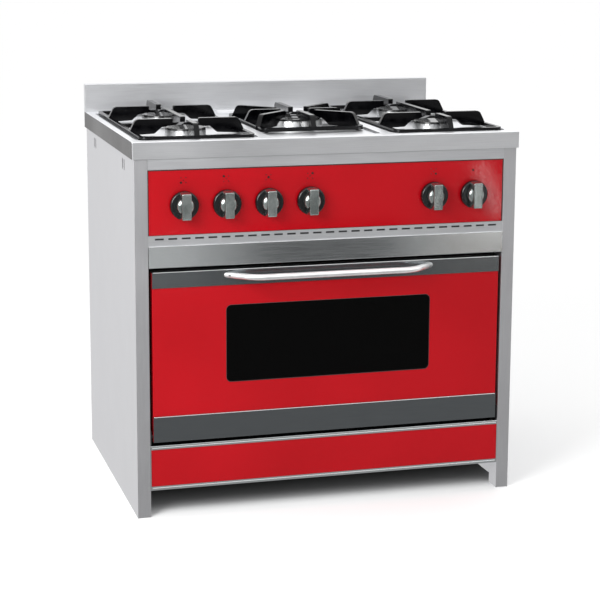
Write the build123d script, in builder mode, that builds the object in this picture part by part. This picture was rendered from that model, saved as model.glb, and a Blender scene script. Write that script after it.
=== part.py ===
from build123d import *
import os
from math import cos, radians, sin, sqrt

# Freestanding gas range: steel body, five-burner hob, gas oven with a drop-down door.
# +X is the viewer's right, -Y the front, +Z up. The floor is z = 0, and x = y = 0 is the
# middle of the object's footprint, handle included. Millimetres.

# ---- Overall sizes -------------------------------------------------------------------------
WIDTH = 900.0  # across the worktop
DEPTH = 650.0  # worktop, front to back
HEIGHT = 850.0  # floor to worktop
SPLASH_H = 70.0  # backsplash above the worktop

# ---- Sheet and clearances ------------------------------------------------------------------
SHEET = 1.2  # side panels, linings, pans
TOP_SHEET = 1.5  # worktop and the visible front strips
FIT = 0.05  # radial running clearance of a shaft in its bore
GAP = 0.3  # least gap between pieces on different bodies
HOLE_PLAY = 0.5  # radial play of a screw or a pipe in its hole

# ---- Front, from the worktop down ----------------------------------------------------------
FASCIA_H = 38.0
RAIL_H = 25.0
CONTROL_H = 145.0
VENT_H = 23.0
TRIM_H = 49.0
DOOR_TOP_GAP = 9.0
DOOR_LOW_GAP = 8.0
LOWER_H = 103.0  # lower panel with its frame
TOE_H = 63.0  # open height under the lower panel

# ---- Side panels and columns ---------------------------------------------------------------
SIDE_SET = 5.0  # side panel behind the worktop's edge
COLUMN_SET = 4.0  # column face behind the worktop's front
COLUMN_W = 30.0
REAR_RETURN = 30.0
REAR_SET = 2.0  # rear return before the worktop's back, room for the screw heads
LOUVRE_W, LOUVRE_H, LOUVRE_PITCH = 9.0, 24.0, 20.0
LOUVRE_END = 128.0  # louvre pair's centre from each end of the body
LOUVRE_DROP = 14.0  # below the worktop's edge

# ---- Door ----------------------------------------------------------------------------------
DOOR_SIDE_GAP = 7.0
DOOR_T = 38.0
DOOR_CLEAR = 4.0  # door back to oven front frame
PAN_DEPTH = 25.0  # depth of the front panel's folded edges
TRIM_PROUD = 2.0
DOOR_TOP_TRIM_H = 36.0
DOOR_LOW_TRIM_H = 59.0
WINDOW_W, WINDOW_H, WINDOW_R = 482.0, 178.0, 12.0
WINDOW_DROP = 81.0  # window's top edge below the door's top
GLASS_T = 4.0
GLASS_LAP = 20.0
HINGE_R = 4.0
HINGE_UP, HINGE_BACK = 12.0, 10.0  # hinge axis from the door's bottom and front
HINGE_BLOCK_W, HINGE_BLOCK_H = 14.0, 24.0
HINGE_PAD_T = 3.0

# ---- Handle --------------------------------------------------------------------------------
HANDLE_R = 7.0
HANDLE_OUT = 55.0  # bar's front from the column face
HANDLE_SPAN = 470.0
HANDLE_LEG = 50.0  # how far a leg runs along the door on its way out
HANDLE_BEND_R = 60.0
HANDLE_DROP = 13.0  # bar's axis below the door's top
SCREW_R, SCREW_HEAD_R, SCREW_HEAD_H = 2.5, 5.0, 3.0
SCREW_BITE = 10.0  # screw's reach into the handle

# ---- Oven ----------------------------------------------------------------------------------
CAVITY_SIDE = 85.0  # cavity wall from the body's outer side
CAVITY_D = 460.0
CAVITY_TOP_DROP = 28.0  # cavity roof below the door's top
CAVITY_FLOOR_UP = 62.0  # floor plate above the door's bottom
BURNER_SPACE = 44.0  # room for the burner under the floor plate
INSULATION_T = 25.0
GASKET_W, GASKET_INSET = 8.0, 6.0
WIRE_R, RACK_WIRE_R, RACK_BAR_R = 2.5, 3.0, 2.0
GUIDE_STAND = 4.0  # guide uprights' centre from the cavity wall
GUIDE_LEVELS = (50.0, 130.0, 210.0)  # rack levels above the floor plate
GUIDE_SLOT = 16.0  # between the two wires of a level
RACK_LEVEL = 1
RACK_BARS = 17
OVEN_TUBE_R = 14.0

# ---- Control panel, knobs and gas ----------------------------------------------------------
PANEL_SET = 3.0  # enamelled panels behind the column face
PANEL_EDGE = 12.0  # depth of their folded edges
KNOB_UP = 66.0  # knob axis above the control panel's bottom
KNOB_PITCH = 96.0
KNOBS_LEFT, KNOBS_RIGHT = 4, 2
KNOB_EDGE_LEFT, KNOB_EDGE_RIGHT = 110.0, 104.0  # end knob from the column's outer face
SKIRT_R, SKIRT_T = 32.0, 11.0
HUB_R, HUB_T = 19.0, 14.0
GRIP_W, GRIP_H, GRIP_T = 23.0, 61.0, 22.0
PUSH_TRAVEL = 3.0
STEM_R = 4.0
STEM_IN_KNOB = 18.0
STEM_IN_VALVE = 14.0
VALVE_W, VALVE_D, VALVE_H = 26.0, 42.0, 34.0
VALVE_SET = 16.0  # valve's front behind the control panel's face
MANIFOLD_R = 9.0
PIPE_R = 4.0
INLET_R, INLET_NIPPLE_R, INLET_NIPPLE_L = 7.5, 10.5, 20.0
INLET_IN = 50.0  # inlet pipe's axis from the side panel's face

# ---- Hob -----------------------------------------------------------------------------------
WELL_DEPTH = 6.0
WELL_R = 22.0
WELL_FRONT, WELL_BACK = 30.0, 42.0  # wells from the worktop's front and back edges
WELL_SIDE = 18.0
WELL_BRIDGE = 26.0  # flat strip between two wells
CENTRE_WELL_W = 260.0
BURNER_OUT = 3.0  # side burners' line outside the middle of their well
BURNER_FRONT, BURNER_REAR = 160.0, 440.0  # side burners' centres from the worktop's front
TRIPLE_FRONT = 305.0
RING_R, RING_H = 47.0, 13.0
CAP_R, CAP_H = 46.0, 5.0
THROAT_R, THROAT_L = 24.0, 30.0
TRIPLE_R, TRIPLE_H = 66.0, 13.0
TRIPLE_CAP_OUT, TRIPLE_CAP_IN, TRIPLE_CAP_MID = 60.0, 40.0, 22.0
TRIPLE_CAP_H = 4.5

# ---- Grates --------------------------------------------------------------------------------
GRATE_H = 32.0  # pan support above the worktop
GRATE_MARGIN = 7.0  # grate frame inside its well
GRATE_BAR, GRATE_BAR_H = 9.0, 9.0
GRATE_CORNER_R = 18.0
FINGER_T = 12.0
FINGER_DEEP, FINGER_TIP = 19.0, 12.0
FINGER_RISE = 13.0  # run of the sloping edge from the frame up to the top
FINGER_NECK, FINGER_BELLY = 26.0, 16.0  # shallow run over the burner, and the slope behind it
SPINE_FOOT = 34.0  # where the bar between two burners stands on the cross bar
TIP_GAP = 30.0  # finger tips from the burner's axis
TRIPLE_TIP_GAP = 36.0
DIAGONAL_SHORT = 18.0  # diagonal fingers of the centre grate end this much earlier
CENTRE_GRATE_FRONT, CENTRE_GRATE_BACK = 140.0, 478.0
FOOT_R, FOOT_LIFT = 5.0, 3.0

# ---- Places worked out from the sizes above ------------------------------------------------
HANDLE_REACH = HANDLE_OUT - COLUMN_SET
FRONT = -(DEPTH - HANDLE_REACH) / 2
BACK = FRONT + DEPTH
FACE = FRONT + COLUMN_SET  # plane of the columns and the door
REAR = BACK - REAR_SET
SIDE_X = WIDTH / 2 - SIDE_SET  # outer face of a side panel
CAVITY_X = SIDE_X - CAVITY_SIDE
CAVITY_W = 2 * CAVITY_X
SKIN_X = SIDE_X - SHEET  # its inner face
INNER_X = SIDE_X - COLUMN_W  # inner face of a column
FASCIA_Z = HEIGHT - FASCIA_H
RAIL_Z = FASCIA_Z - RAIL_H
CONTROL_Z = RAIL_Z - CONTROL_H
VENT_Z = CONTROL_Z - VENT_H
TRIM_Z = VENT_Z - TRIM_H
DOOR_TOP = TRIM_Z - DOOR_TOP_GAP
LOWER_TOP = TOE_H + LOWER_H
DOOR_BOTTOM = LOWER_TOP + DOOR_LOW_GAP
DOOR_X = INNER_X - DOOR_SIDE_GAP
DOOR_BACK = FACE + DOOR_T
FRAME_Y = DOOR_BACK + DOOR_CLEAR  # front of the oven's front frame
FRAME_BACK = FRAME_Y + SHEET
CAVITY_TOP = DOOR_TOP - CAVITY_TOP_DROP
FLOOR_Z = DOOR_BOTTOM + CAVITY_FLOOR_UP
LINER_Z = FLOOR_Z - BURNER_SPACE
CAVITY_BACK = FRAME_BACK + CAVITY_D
REAR_PANEL_Y = REAR - 2 * SHEET
HINGE_Y = FACE + HINGE_BACK
HINGE_Z = DOOR_BOTTOM + HINGE_UP
PANEL_Y = FACE + PANEL_SET
KNOB_Z = CONTROL_Z + KNOB_UP
KNOB_XS = [-SIDE_X + KNOB_EDGE_LEFT + i * KNOB_PITCH for i in range(KNOBS_LEFT)] + [
    SIDE_X - KNOB_EDGE_RIGHT - i * KNOB_PITCH for i in reversed(range(KNOBS_RIGHT))
]
SKIRT_BACK = PANEL_Y - PUSH_TRAVEL - 1.0
SKIRT_FRONT = SKIRT_BACK - SKIRT_T
VALVE_Y = PANEL_Y + VALVE_SET
MANIFOLD_Z = KNOB_Z - VALVE_H / 2
MANIFOLD_Y = VALVE_Y + VALVE_D - MANIFOLD_R - 4.0
WINDOW_Z = DOOR_TOP - WINDOW_DROP - WINDOW_H / 2
HANDLE_Z = DOOR_TOP - HANDLE_DROP
HANDLE_Y = FACE - HANDLE_OUT + HANDLE_R
WELL_FLOOR = HEIGHT - WELL_DEPTH
WELL_YS = (FRONT + WELL_FRONT, BACK - WELL_BACK)
CENTRE_WELL_X = CENTRE_WELL_W / 2
SIDE_WELL_XS = (CENTRE_WELL_X + WELL_BRIDGE, WIDTH / 2 - WELL_SIDE)
SIDE_WELL_W = SIDE_WELL_XS[1] - SIDE_WELL_XS[0]
BURNER_X = sum(SIDE_WELL_XS) / 2 + BURNER_OUT
BURNERS = [(sx * BURNER_X, FRONT + y) for sx in (-1, 1) for y in (BURNER_FRONT, BURNER_REAR)]
TRIPLE = (0.0, FRONT + TRIPLE_FRONT)
BODY_TOP = WELL_FLOOR - TOP_SHEET  # side panels and rails carry the wells
GRATE_TOP = HEIGHT + GRATE_H
GRATE_Z = WELL_FLOOR + FOOT_LIFT


def block(x_span, y_span, z_span, mode=Mode.ADD):
    """A box between two planes along each axis."""
    spans = (x_span, y_span, z_span)
    with Locations(tuple(sum(span) / 2 for span in spans)):
        Box(*(span[1] - span[0] for span in spans), mode=mode)


def rod_y(x, z, y_span, radius, mode=Mode.ADD):
    """A round bar along Y."""
    with Locations(Location((x, y_span[0], z), (-90, 0, 0))):
        Cylinder(radius, y_span[1] - y_span[0], mode=mode, align=(Align.CENTER, Align.CENTER, Align.MIN))


def rod_x(y, z, x_span, radius, mode=Mode.ADD):
    """A round bar along X."""
    with Locations(Location((x_span[0], y, z), (0, 90, 0))):
        Cylinder(radius, x_span[1] - x_span[0], mode=mode, align=(Align.CENTER, Align.CENTER, Align.MIN))


def rod_z(x, y, z_span, radius, mode=Mode.ADD):
    """A round bar along Z."""
    with Locations((x, y, z_span[0])):
        Cylinder(radius, z_span[1] - z_span[0], mode=mode, align=(Align.CENTER, Align.CENTER, Align.MIN))


def save(piece, node):
    """Labels a finished piece and writes it as its own STEP file."""
    piece.part.label = node
    export_step(piece.part, f"parts/{node}.step")


os.makedirs("parts", exist_ok=True)

# ---- Side panels: a folded skin with a box column at the front and a return at the back -----
COLUMN_BACK = FRAME_BACK
FOOT_PLATE_Z = 10.0
FOOT_PLATE_L = 40.0
FOOT_STEM_R = 4.0
FOOT_XS = (-SIDE_X + COLUMN_W / 2, SIDE_X - COLUMN_W / 2)
FOOT_YS = (FACE + 20.0, REAR - 20.0)
SCREW_ZS = [TOE_H + 40.0 + i * (FASCIA_Z - TOE_H - 80.0) / 3 for i in range(4)]
REAR_SCREW_R = 2.0
REAR_SCREW_X = SIDE_X - REAR_RETURN / 2

with BuildPart() as side_panel_left:
    block((-SIDE_X, -SKIN_X), (FACE, REAR), (0, BODY_TOP))
    block((-SIDE_X, -INNER_X), (FACE, FACE + SHEET), (0, BODY_TOP))
    block((-INNER_X - SHEET, -INNER_X), (FACE, COLUMN_BACK), (0, BODY_TOP))
    block((-SIDE_X, -SIDE_X + REAR_RETURN), (REAR - SHEET, REAR), (0, BODY_TOP))
    block((-SIDE_X, -INNER_X), (FACE, FACE + FOOT_PLATE_L), (FOOT_PLATE_Z, FOOT_PLATE_Z + 2 * SHEET))
    block((-SIDE_X, -INNER_X), (REAR - FOOT_PLATE_L, REAR), (FOOT_PLATE_Z, FOOT_PLATE_Z + 2 * SHEET))
    fillet(side_panel_left.edges().filter_by(Axis.Z).group_by(Axis.Y)[0], SHEET * 0.9)
    with BuildSketch(Plane.YZ.offset(-SIDE_X - 1)) as louvres:
        for centre_y in (FACE + LOUVRE_END, REAR - LOUVRE_END):
            with Locations((centre_y, FASCIA_Z - LOUVRE_DROP - LOUVRE_H / 2)):
                with GridLocations(LOUVRE_PITCH, 1, 2, 1):
                    RectangleRounded(LOUVRE_W, LOUVRE_H, 2.0)
    extrude(amount=SHEET + 2, mode=Mode.SUBTRACT)
    for foot_y in FOOT_YS:
        rod_z(FOOT_XS[0], foot_y, (0, FOOT_PLATE_Z + 10), FOOT_STEM_R + HOLE_PLAY, Mode.SUBTRACT)
    for screw_z in SCREW_ZS:
        rod_y(-REAR_SCREW_X, screw_z, (REAR - 5, REAR + 1), REAR_SCREW_R + HOLE_PLAY, Mode.SUBTRACT)
save(side_panel_left, "side_panel_left")

with BuildPart() as side_panel_right:
    mirror(side_panel_left.part, about=Plane.YZ)
save(side_panel_right, "side_panel_right")

# ---- Levelling feet: pads on studs inside the corners ---------------------------------------
with BuildPart() as levelling_feet:
    for foot_x in FOOT_XS:
        for foot_y in FOOT_YS:
            rod_z(foot_x, foot_y, (0, FOOT_PLATE_Z), 11.0)
            rod_z(foot_x, foot_y, (FOOT_PLATE_Z, FOOT_PLATE_Z + 28.0), FOOT_STEM_R)
save(levelling_feet, "levelling_feet")

# ---- Rear panel with cooling louvres and the gas pipe's hole --------------------------------
INLET_X = SIDE_X - INLET_IN
with BuildPart() as rear_panel:
    block((-SKIN_X, SKIN_X), (REAR_PANEL_Y, REAR_PANEL_Y + SHEET), (TOE_H, BODY_TOP))
    with BuildSketch(Plane.XZ.offset(-REAR_PANEL_Y)) as rear_slots:
        with Locations((0, FASCIA_Z - 60.0)):
            with GridLocations(60.0, 26.0, 10, 3):
                SlotOverall(44.0, 8.0)
    extrude(amount=SHEET * 2, both=True, mode=Mode.SUBTRACT)
    rod_y(INLET_X, MANIFOLD_Z, (REAR_PANEL_Y - 1, REAR), INLET_NIPPLE_R + 6.0, Mode.SUBTRACT)
    for screw_x in (-REAR_SCREW_X, REAR_SCREW_X):
        for screw_z in SCREW_ZS:
            rod_y(screw_x, screw_z, (REAR_PANEL_Y - 1, REAR), REAR_SCREW_R + HOLE_PLAY, Mode.SUBTRACT)
save(rear_panel, "rear_panel")

with BuildPart() as rear_panel_screws:
    for screw_x in (-REAR_SCREW_X, REAR_SCREW_X):
        for screw_z in SCREW_ZS:
            rod_y(screw_x, screw_z, (REAR, REAR + REAR_SET), 2 * REAR_SCREW_R)
            rod_y(screw_x, screw_z, (REAR_PANEL_Y - 6, REAR), REAR_SCREW_R)
save(rear_panel_screws, "rear_panel_screws")

# ---- Base pan under the oven ----------------------------------------------------------------
with BuildPart() as base_pan:
    block((-SKIN_X, SKIN_X), (COLUMN_BACK, REAR_PANEL_Y), (TOE_H, TOE_H + SHEET))
    for edge in (-1, 1):
        inner, outer = sorted((edge * (SKIN_X - SHEET), edge * SKIN_X))
        block((inner, outer), (COLUMN_BACK, REAR_PANEL_Y), (TOE_H, TOE_H + 20.0))
save(base_pan, "base_pan")

# ---- Front top rail, behind and under the worktop's fascia ----------------------------------
with BuildPart() as front_top_rail:
    block((-INNER_X, INNER_X), (FACE, FACE + TOP_SHEET), (RAIL_Z, BODY_TOP))
    block((-INNER_X, INNER_X), (FACE, FACE + 22.0), (RAIL_Z, RAIL_Z + TOP_SHEET))
    fillet(front_top_rail.edges().filter_by(Axis.X).group_by(Axis.Z)[0].sort_by(Axis.Y)[0], 1.0)
save(front_top_rail, "front_top_rail")

# ---- Worktop: a pressed pan with three shallow wells and the burner throats' holes ----------
with BuildPart() as worktop:
    block((-WIDTH / 2, WIDTH / 2), (FRONT, BACK), (FASCIA_Z, HEIGHT))
    fillet(worktop.edges().filter_by(Axis.Z), 3.0)
    fillet(worktop.faces().sort_by(Axis.Z)[-1].edges(), 2.0)
    inner = TOP_SHEET
    block(
        (-WIDTH / 2 + inner, WIDTH / 2 - inner),
        (FRONT + inner, BACK - inner),
        (FASCIA_Z, HEIGHT - inner),
        Mode.SUBTRACT,
    )
    well_d = WELL_YS[1] - WELL_YS[0]
    well_y = sum(WELL_YS) / 2
    side_x = sum(SIDE_WELL_XS) / 2
    wells = [(-side_x, SIDE_WELL_W), (0.0, 2 * CENTRE_WELL_X), (side_x, SIDE_WELL_W)]
    for well_x, well_w in wells:
        with BuildSketch(Plane.XY.offset(WELL_FLOOR - TOP_SHEET)) as tub:
            with Locations((well_x, well_y)):
                RectangleRounded(well_w + 2 * inner, well_d + 2 * inner, WELL_R + inner)
        extrude(amount=WELL_DEPTH)
        with BuildSketch(Plane.XY.offset(HEIGHT)) as hollow:
            with Locations((well_x, well_y)):
                RectangleRounded(well_w, well_d, WELL_R)
        extrude(amount=-WELL_DEPTH, taper=12, mode=Mode.SUBTRACT)
    for burner_x, burner_y in BURNERS + [TRIPLE]:
        rod_z(burner_x, burner_y, (WELL_FLOOR - 5, HEIGHT), THROAT_R + HOLE_PLAY, Mode.SUBTRACT)
    fillet(worktop.faces().group_by(Axis.Z)[-1].edges().filter_by(
        lambda e: abs(e.center().X) < WIDTH / 2 - 5 and FRONT + 5 < e.center().Y < BACK - 5), 1.5)
save(worktop, "worktop")

# ---- Backsplash: a folded upstand along the back --------------------------------------------
SPLASH_T = 18.0
with BuildPart() as backsplash:
    block((-WIDTH / 2, WIDTH / 2), (BACK - SPLASH_T, BACK), (HEIGHT, HEIGHT + SPLASH_H))
    fillet(backsplash.faces().sort_by(Axis.Z)[-1].edges(), 2.0)
    block(
        (-WIDTH / 2 + TOP_SHEET, WIDTH / 2 - TOP_SHEET),
        (BACK - SPLASH_T + TOP_SHEET, BACK - TOP_SHEET),
        (HEIGHT, HEIGHT + SPLASH_H - TOP_SHEET),
        Mode.SUBTRACT,
    )
save(backsplash, "backsplash")

# ---- Control panel: an enamelled pan with a hole for each valve stem ------------------------
STEM_HOLE_R = STEM_R + 2.0
with BuildPart() as control_panel:
    block((-INNER_X, INNER_X), (PANEL_Y, PANEL_Y + PANEL_EDGE), (CONTROL_Z, RAIL_Z))
    fillet(control_panel.faces().sort_by(Axis.Y)[0].edges(), 1.2)
    block(
        (-INNER_X + SHEET, INNER_X - SHEET),
        (PANEL_Y + TOP_SHEET, PANEL_Y + PANEL_EDGE),
        (CONTROL_Z + SHEET, RAIL_Z - SHEET),
        Mode.SUBTRACT,
    )
    for knob_x in KNOB_XS:
        rod_y(knob_x, KNOB_Z, (PANEL_Y - 1, PANEL_Y + 5), STEM_HOLE_R, Mode.SUBTRACT)
save(control_panel, "control_panel")

# ---- Vent strip with its row of slots -------------------------------------------------------
VENT_Y = FACE + 1.0
SLOT_L, SLOT_H, SLOT_PITCH = 20.0, 4.0, 30.0
SLOT_DROP = 8.0  # slots' centre line below the strip's top
SLOT_COUNT = int((2 * INNER_X - SLOT_L) // SLOT_PITCH)
with BuildPart() as vent_strip:
    block((-INNER_X, INNER_X), (VENT_Y, VENT_Y + TOP_SHEET), (VENT_Z, CONTROL_Z))
    block((-INNER_X, INNER_X), (VENT_Y, VENT_Y + 16.0), (VENT_Z, VENT_Z + TOP_SHEET))
    with BuildSketch(Plane.XZ.offset(-VENT_Y)) as slots:
        with Locations((0, CONTROL_Z - SLOT_DROP)):
            with GridLocations(SLOT_PITCH, 1, SLOT_COUNT, 1):
                RectangleRounded(SLOT_L, SLOT_H, 0.8)
    extrude(amount=3.0, both=True, mode=Mode.SUBTRACT)
save(vent_strip, "vent_strip")

# ---- Plain trim strip over the door, folded back top and bottom -----------------------------
with BuildPart() as front_trim:
    block((-INNER_X, INNER_X), (FACE - TRIM_PROUD, FRAME_Y), (TRIM_Z, VENT_Z))
    fillet(front_trim.faces().sort_by(Axis.Y)[0].edges().filter_by(Axis.X), 1.4)
    block(
        (-INNER_X, INNER_X),
        (FACE - TRIM_PROUD + TOP_SHEET, FRAME_Y),
        (TRIM_Z + TOP_SHEET, VENT_Z - TOP_SHEET),
        Mode.SUBTRACT,
    )
save(front_trim, "front_trim")

# ---- Lower frame and the enamelled lower panel set into it ----------------------------------
LIP = 9.0
with BuildPart() as lower_frame:
    block((-INNER_X, INNER_X), (FACE, COLUMN_BACK), (TOE_H, LOWER_TOP))
    block(
        (-INNER_X, INNER_X),
        (FACE + TOP_SHEET, COLUMN_BACK),
        (TOE_H + TOP_SHEET, LOWER_TOP - TOP_SHEET),
        Mode.SUBTRACT,
    )
    block((-INNER_X, INNER_X), (FACE - 1, FACE + 5), (TOE_H + LIP, LOWER_TOP - LIP), Mode.SUBTRACT)
    for end_x in (-INNER_X, INNER_X - TOP_SHEET):
        block((end_x, end_x + TOP_SHEET), (FACE, COLUMN_BACK), (TOE_H, LOWER_TOP))
    fillet(lower_frame.faces().sort_by(Axis.Z)[-1].edges().filter_by(Axis.X).sort_by(Axis.Y)[0], 1.2)
save(lower_frame, "lower_frame")

LOWER_PANEL_X = INNER_X - TOP_SHEET
with BuildPart() as lower_panel:
    block(
        (-LOWER_PANEL_X, LOWER_PANEL_X),
        (FACE + TOP_SHEET, FACE + TOP_SHEET + PANEL_EDGE),
        (TOE_H + TOP_SHEET, LOWER_TOP - TOP_SHEET),
    )
    block(
        (-LOWER_PANEL_X + SHEET, LOWER_PANEL_X - SHEET),
        (FACE + 2 * TOP_SHEET, FACE + TOP_SHEET + PANEL_EDGE),
        (TOE_H + TOP_SHEET + SHEET, LOWER_TOP - TOP_SHEET - SHEET),
        Mode.SUBTRACT,
    )
save(lower_panel, "lower_panel")

# ---- Oven front frame: the enamelled plate around the oven's mouth --------------------------
with BuildPart() as oven_front_frame:
    block((-INNER_X, INNER_X), (FRAME_Y, FRAME_BACK), (LOWER_TOP, VENT_Z))
    block((-CAVITY_X, CAVITY_X), (FRAME_Y - 1, FRAME_BACK + 1), (FLOOR_Z, CAVITY_TOP), Mode.SUBTRACT)
    fillet(oven_front_frame.edges().filter_by(Axis.Y).filter_by(
        lambda e: abs(e.center().X) < CAVITY_X + 1), 10.0)
save(oven_front_frame, "oven_front_frame")

with BuildPart() as door_gasket:
    rim = GASKET_INSET + GASKET_W
    gasket_ys = (DOOR_BACK + GAP, FRAME_Y)
    block((-CAVITY_X - rim, CAVITY_X + rim), gasket_ys, (FLOOR_Z - rim, CAVITY_TOP + rim))
    fillet(door_gasket.edges().filter_by(Axis.Y), 14.0)
    with BuildSketch(Plane.XZ.offset(-gasket_ys[0])) as gasket_hole:
        with Locations((0, (FLOOR_Z + CAVITY_TOP) / 2)):
            RectangleRounded(
                CAVITY_W + 2 * GASKET_INSET, CAVITY_TOP - FLOOR_Z + 2 * GASKET_INSET, 12.0)
    extrude(amount=-20.0, mode=Mode.SUBTRACT)
save(door_gasket, "door_gasket")

# ---- Oven liner, insulation and floor plate -------------------------------------------------
with BuildPart() as oven_liner:
    block(
        (-CAVITY_X - SHEET, CAVITY_X + SHEET),
        (FRAME_BACK, CAVITY_BACK + SHEET),
        (LINER_Z - SHEET, CAVITY_TOP + SHEET),
    )
    block((-CAVITY_X, CAVITY_X), (FRAME_BACK, CAVITY_BACK), (LINER_Z, CAVITY_TOP), Mode.SUBTRACT)
save(oven_liner, "oven_liner")

with BuildPart() as oven_insulation:
    wrap = SHEET + INSULATION_T
    block(
        (-CAVITY_X - wrap, CAVITY_X + wrap),
        (FRAME_BACK, CAVITY_BACK + wrap),
        (LINER_Z - SHEET, CAVITY_TOP + wrap),
    )
    block(
        (-CAVITY_X - SHEET, CAVITY_X + SHEET),
        (FRAME_BACK, CAVITY_BACK + SHEET),
        (LINER_Z - SHEET, CAVITY_TOP + SHEET),
        Mode.SUBTRACT,
    )
save(oven_insulation, "oven_insulation")

FLOOR_GAP = 1.0
with BuildPart() as oven_floor:
    floor_x = CAVITY_X - FLOOR_GAP
    floor_ys = (FRAME_BACK + FLOOR_GAP, CAVITY_BACK - FLOOR_GAP)
    block((-floor_x, floor_x), floor_ys, (FLOOR_Z - SHEET, FLOOR_Z))
    with BuildSketch(Plane.XY.offset(FLOOR_Z)) as floor_slots:
        for slot_x in (-1, 1):
            with Locations((slot_x * (CAVITY_X - 40.0), sum(floor_ys) / 2)):
                with GridLocations(1, 40.0, 1, 9):
                    SlotOverall(34.0, 10.0)
    extrude(amount=-3 * SHEET, mode=Mode.SUBTRACT)
    for leg_x in (-floor_x + 10.0, floor_x - 10.0):
        block((leg_x - SHEET, leg_x + SHEET), floor_ys, (LINER_Z, FLOOR_Z - SHEET))
save(oven_floor, "oven_floor")

TUBE_Z = LINER_Z + OVEN_TUBE_R + 4.0
with BuildPart() as oven_burner:
    tube_ys = (FRAME_BACK + 40.0, CAVITY_BACK)
    rod_y(0, TUBE_Z, tube_ys, OVEN_TUBE_R)
    rod_y(0, TUBE_Z, (tube_ys[0] + 2.0, tube_ys[1]), OVEN_TUBE_R - 2.0, Mode.SUBTRACT)
    with BuildSketch(Plane.YZ) as ports:
        with Locations((sum(tube_ys) / 2, TUBE_Z)):
            with GridLocations(24.0, 1, 14, 1):
                Circle(2.0)
    extrude(amount=OVEN_TUBE_R + 2, both=True, mode=Mode.SUBTRACT)
save(oven_burner, "oven_burner")

# ---- Wire guides on both cavity walls, and the rack that rests in them ----------------------
UPRIGHT_X = CAVITY_X - GUIDE_STAND
RUNNER_X = UPRIGHT_X - 2 * WIRE_R + 0.5
GUIDE_YS = (FRAME_BACK + 22.0, CAVITY_BACK - 20.0)
with BuildPart() as rack_guides:
    for side in (-1, 1):
        for upright_y in (GUIDE_YS[0] + 40.0, GUIDE_YS[1] - 40.0):
            rod_z(side * UPRIGHT_X, upright_y, (FLOOR_Z + 30.0, CAVITY_TOP - 22.0), WIRE_R)
            for pin_z in (FLOOR_Z + 40.0, CAVITY_TOP - 34.0):
                rod_x(upright_y, pin_z, sorted((side * UPRIGHT_X, side * CAVITY_X)), WIRE_R)
        for level in GUIDE_LEVELS:
            for wire_z in (FLOOR_Z + level, FLOOR_Z + level + GUIDE_SLOT):
                rod_y(side * RUNNER_X, wire_z, GUIDE_YS, WIRE_R)
save(rack_guides, "rack_guides")

RACK_X = RUNNER_X - RACK_WIRE_R
RACK_Z = FLOOR_Z + GUIDE_LEVELS[RACK_LEVEL] + WIRE_R + RACK_WIRE_R + GAP
RACK_YS = (FRAME_BACK + 17.0, CAVITY_BACK - 17.0)
BAR_LIFT = 2.2  # bars lie on top of the rim
with BuildPart() as oven_rack:
    with BuildLine() as rim_line:
        FilletPolyline(
            (RACK_X, RACK_YS[0], RACK_Z),
            (RACK_X, RACK_YS[1], RACK_Z),
            (-RACK_X, RACK_YS[1], RACK_Z),
            (-RACK_X, RACK_YS[0], RACK_Z),
            radius=14.0,
            close=True,
        )
    with BuildSketch(Plane(rim_line.line @ 0, z_dir=rim_line.line % 0)) as rim_section:
        Circle(RACK_WIRE_R)
    sweep()
    rod_x(sum(RACK_YS) / 2, RACK_Z, (-RACK_X, RACK_X), WIRE_R)
    for i in range(RACK_BARS):
        bar_x = -RACK_X + (i + 1) * 2 * RACK_X / (RACK_BARS + 1)
        rod_y(bar_x, RACK_Z + BAR_LIFT, RACK_YS, RACK_BAR_R)
save(oven_rack, "oven_rack")

# ---- Door shell: the enamelled front panel --------------------------------------------------
PAN_ZS = (DOOR_BOTTOM + TRIM_PROUD, DOOR_TOP - TRIM_PROUD)
with BuildPart() as door_front_panel:
    block((-DOOR_X, DOOR_X), (FACE, FACE + PAN_DEPTH), PAN_ZS)
    fillet(door_front_panel.edges().filter_by(Axis.Z).group_by(Axis.Y)[0], 1.2)
    block(
        (-DOOR_X + SHEET, DOOR_X - SHEET),
        (FACE + TOP_SHEET, FACE + PAN_DEPTH),
        (PAN_ZS[0] + SHEET, PAN_ZS[1] - SHEET),
        Mode.SUBTRACT,
    )
    with BuildSketch(Plane.XZ.offset(-FACE)) as window:
        with Locations((0, WINDOW_Z)):
            RectangleRounded(WINDOW_W, WINDOW_H, WINDOW_R)
    extrude(amount=PAN_DEPTH, both=True, mode=Mode.SUBTRACT)
    for side in (-1, 1):
        rod_x(HINGE_Y, HINGE_Z, sorted((side * (DOOR_X - 3), side * (DOOR_X + 1))),
              HINGE_R + 1.5, Mode.SUBTRACT)
        rod_y(side * (HANDLE_SPAN / 2), HANDLE_Z, (FACE - 1, FACE + 5), SCREW_R + HOLE_PLAY, Mode.SUBTRACT)
save(door_front_panel, "door_front_panel")

with BuildPart() as door_top_trim:
    block((-DOOR_X, DOOR_X), (FACE - TRIM_PROUD, FACE), (DOOR_TOP - DOOR_TOP_TRIM_H, DOOR_TOP))
    block((-DOOR_X, DOOR_X), (FACE - TRIM_PROUD, FACE + PAN_DEPTH), (DOOR_TOP - TRIM_PROUD, DOOR_TOP))
    fillet(door_top_trim.faces().sort_by(Axis.Z)[-1].edges().filter_by(Axis.X).sort_by(Axis.Y)[0], 1.6)
    for side in (-1, 1):
        rod_y(side * (HANDLE_SPAN / 2), HANDLE_Z, (FACE - 5, FACE + 1), SCREW_R + HOLE_PLAY, Mode.SUBTRACT)
save(door_top_trim, "door_top_trim")

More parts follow.
